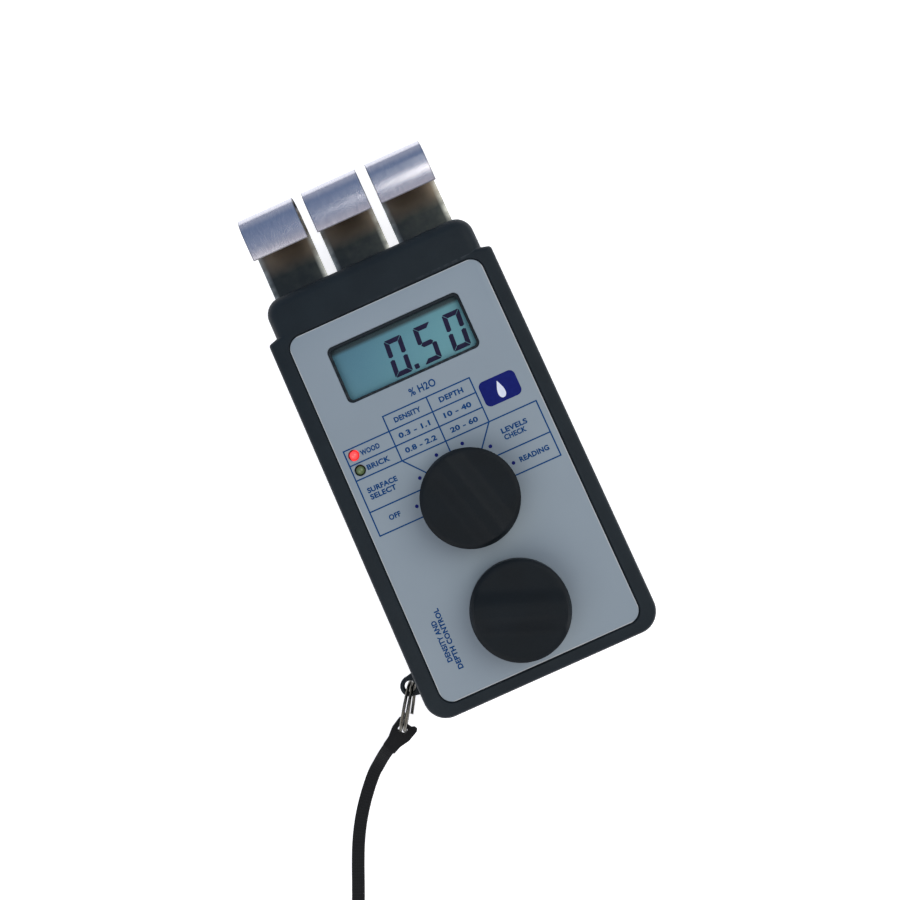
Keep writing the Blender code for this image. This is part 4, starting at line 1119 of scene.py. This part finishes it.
def makeLamps():
    s = lampSet
    for name, node, y, lens, slotName in (("lamp_wood", "wood_led", s["red"], redLens, "led_red"),
                                          ("lamp_brick", "building_led", s["green"], greenLens, "led_green")):
        dome = [(s["radius"] * math.cos(math.radians(8 * k)), s["base"] + s["radius"] * math.sin(math.radians(8 * k)))
                for k in range(11)]
        bm = bmesh.new()
        turned(bm, s["x"], y, [(1.9, 30.6), (1.9, 31.55), (1.6, 31.6), (s["radius"], 31.65), *dome,
                               (0.1, s["base"] + s["radius"])], 40)
        fit(makePiece(name, bm, lens, 50), "case", slotName, node)


# Knobs: round, with a low grip bar across a shallow dish, hollow underneath

def makeKnob(name, body, node, y, pointsTo):
    s = knobSet
    pointer = math.radians(90 + pointsTo)
    across = Vector((-math.sin(pointer), math.cos(pointer)))
    rim, sides = s["radius"], s["sides"]

    def topHeight(px, py, radius):
        off = abs(px * across.x + py * across.y)
        barShare = ease((7.6 - off) / 6.4)
        edge = min(max((rim - radius) / 1.6, 0.0), 1.0)
        return s["rim"] + s["grip"] * barShare * math.sin(edge * math.pi / 2) - 0.7 * (1 - edge) ** 2

    loops = []
    radii = [rim * k / 34 for k in range(1, 31)] + [rim - d for d in (1.4, 1.0, 0.65, 0.4, 0.2, 0.07, 0)]
    for radius in radii:
        loop = []
        for k in range(sides):
            a = math.tau * k / sides
            px, py = radius * math.cos(a), radius * math.sin(a)
            loop.append((s["x"] + px, y + py, topHeight(px, py, radius)))
        loops.append(loop)
    below = [(rim, s["rim"] - 1.2), (rim + 0.0, s["base"] + 0.9), (rim - 0.08, s["base"] + 0.4),
             (rim - 0.3, s["base"] + 0.1), (rim - 0.6, s["base"]), (13.7, s["base"]), (13.5, 37.2), (13.4, 42.4),
             (5.6, 42.4), (5.4, 39.6), (3.3, 39.6), (3.3, 43.6)]
    for radius, z in below:
        loops.append(lift(circle(s["x"], y, radius, sides), z))
    bm = bmesh.new()
    loft(bm, loops)
    fit(makePiece(name, bm, knobPlastic, 30), body, "knob_black", node)


# Contact strips: sprung sheet steel, slightly cupped, rolled back over itself at the tip

def stripLine():
    # (y, z, straight share) along the middle of a strip
    s = stripSet
    points = []
    for k in range(15):
        points.append((s["tail"] + (s["curl"] - s["tail"]) * k / 15, s["height"]))
    for k in range(41):
        a = math.radians(-90 + 180 * k / 40)
        points.append((s["curl"] + s["curlRadius"] * math.cos(a),
                       s["height"] + s["curlRadius"] * (1 + math.sin(a))))
    top = s["height"] + 2 * s["curlRadius"]
    run = s["curl"] - s["flapEnd"]
    for k in range(1, 13):
        t = k / 12
        points.append((s["curl"] - run * t, top - s["flapDrop"] * t * t))
    return points


def makeStrips():
    s = stripSet
    line = [Vector(p) for p in stripLine()]
    half = s["thickness"] / 2
    for side, x in zip(("left", "middle", "right"), s["x"]):
        loops = []
        edge = 0.12
        across = [s["halfWidth"] * math.sin(math.radians(-90 + 180 * k / (s["slices"] - 1)))
                  for k in range(s["slices"])]
        bm = bmesh.new()
        for i, p in enumerate(line):
            ahead = (line[min(i + 1, len(line) - 1)] - line[max(i - 1, 0)]).normalized()
            normal = Vector((-ahead.y, ahead.x))
            straight = ease((s["curl"] - 2.0 - p.x) / 9.0) if p.y < s["height"] + 2.0 else 0.0
            ring = []
            for way in (1, -1):
                row = across if way > 0 else across[::-1]
                for a in row:
                    close = (s["halfWidth"] - abs(a)) < 1e-6
                    thick = half - edge if close else half
                    cup = -s["cup"] * straight * (abs(a) / s["halfWidth"]) ** 5
                    at = p + normal * thick * way
                    ring.append((x + a, at.x, at.y + cup))
            loops.append(ring)
        loft(bm, loops)
        fit(makePiece("strip_" + side, bm, springSteel, 40), "strip_" + side, "spring_steel",
            "contact_strip_" + side)


# Back of the case: battery door with a grip, and the cross-head screws

doorSet = {"halfWidth": 15.0, "top": -15.8, "low": 0.3, "high": 2.1, "grooves": 5, "firstGroove": -62.0, "pitch": 2.2}


def makeDoor():
    s = doorSet
    end = -caseSet["halfLength"] + 0.3
    bm = bmesh.new()
    slab(bm, [(-s["halfWidth"], end, 0.5), (s["halfWidth"], end, 0.5), (s["halfWidth"], s["top"], 0.5),
              (-s["halfWidth"], s["top"], 0.5)], s["low"], s["high"], 0.22)
    door = makePiece("battery_cover", bm, casePlastic)
    cuts = bmesh.new()
    for k in range(s["grooves"]):
        y = s["firstGroove"] + s["pitch"] * k + 0.45
        outline = rectangle(6.0, 0.45, 0.44, 0.0, y, 6)
        loft(cuts, [lift(outline, -1.0), lift(outline, s["low"] + 0.5)])
    arrow = [(-3.0, -48.0, 0.3), (0.0, -51.0, 0.3), (3.0, -48.0, 0.3)]
    loft(cuts, [lift(roundedOutline(arrow, 3), z) for z in (-1.0, s["low"] + 0.3)])
    sideCut = [(-s["halfWidth"] - 2, end - 1, 0.2), (s["halfWidth"] + 2, end - 1, 0.2)]
    carve(door, cuts)
    fit(door, "door", "case_black", "battery_door")


def makeCaseScrews():
    for k, (x, y) in enumerate(screwPlaces, 1):
        bm = bmesh.new()
        turned(bm, x, y, [(2.2, 0.92), (2.5, 1.05), (2.6, 1.25), (2.6, 1.6), (1.0, 3.4), (0.8, 27.0)], 32)
        screw = makePiece(f"rear_screw_{k}", bm, screwSteel)
        for half in ((1.7, 0.28), (0.28, 1.7)):
            cross = bmesh.new()
            loft(cross, [lift(rectangle(*half, 0.1, x, y, 2), 0.0),
                         lift(rectangle(half[0] * 0.55, half[1] * 0.55, 0.05, x, y, 2), 1.9)])
            carve(screw, cross)
        fit(screw, "case", "screw_steel", f"case_screw_{k}")


makeShells()
makePanel()
makePrint()
makeDisplay()
makeLamps()
makeKnob("knob_upper", "mode_control", "mode_knob", *knobSet["mode"])
makeKnob("knob_lower", "level_setting", "level_knob", *knobSet["level"])
makeStrips()
makeDoor()
makeCaseScrews()
print("case, panel, knobs and strips made")


nodeFinishes = {
    "case_black": casePlastic, "panel_grey": panelFoil, "knob_black": knobPlastic, "spring_steel": springSteel,
    "screw_steel": screwSteel, "brass": brass, "display_face": displayFace, "part_black": partBlack,
    "contact_rubber": contactRubber, "board_green": boardGreen, "part_blue": partBlue, "led_red": redLens,
    "led_green": greenLens, "battery_wrap": batteryWrap, "red_wire": redWire, "black_wire": blackWire,
    "strap_webbing": strapWebbing,
}
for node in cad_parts.values():
    for slot in node.material_slots:
        slot.material = nodeFinishes[slot.material.name.split(".")[0]]
print("inner parts finished")
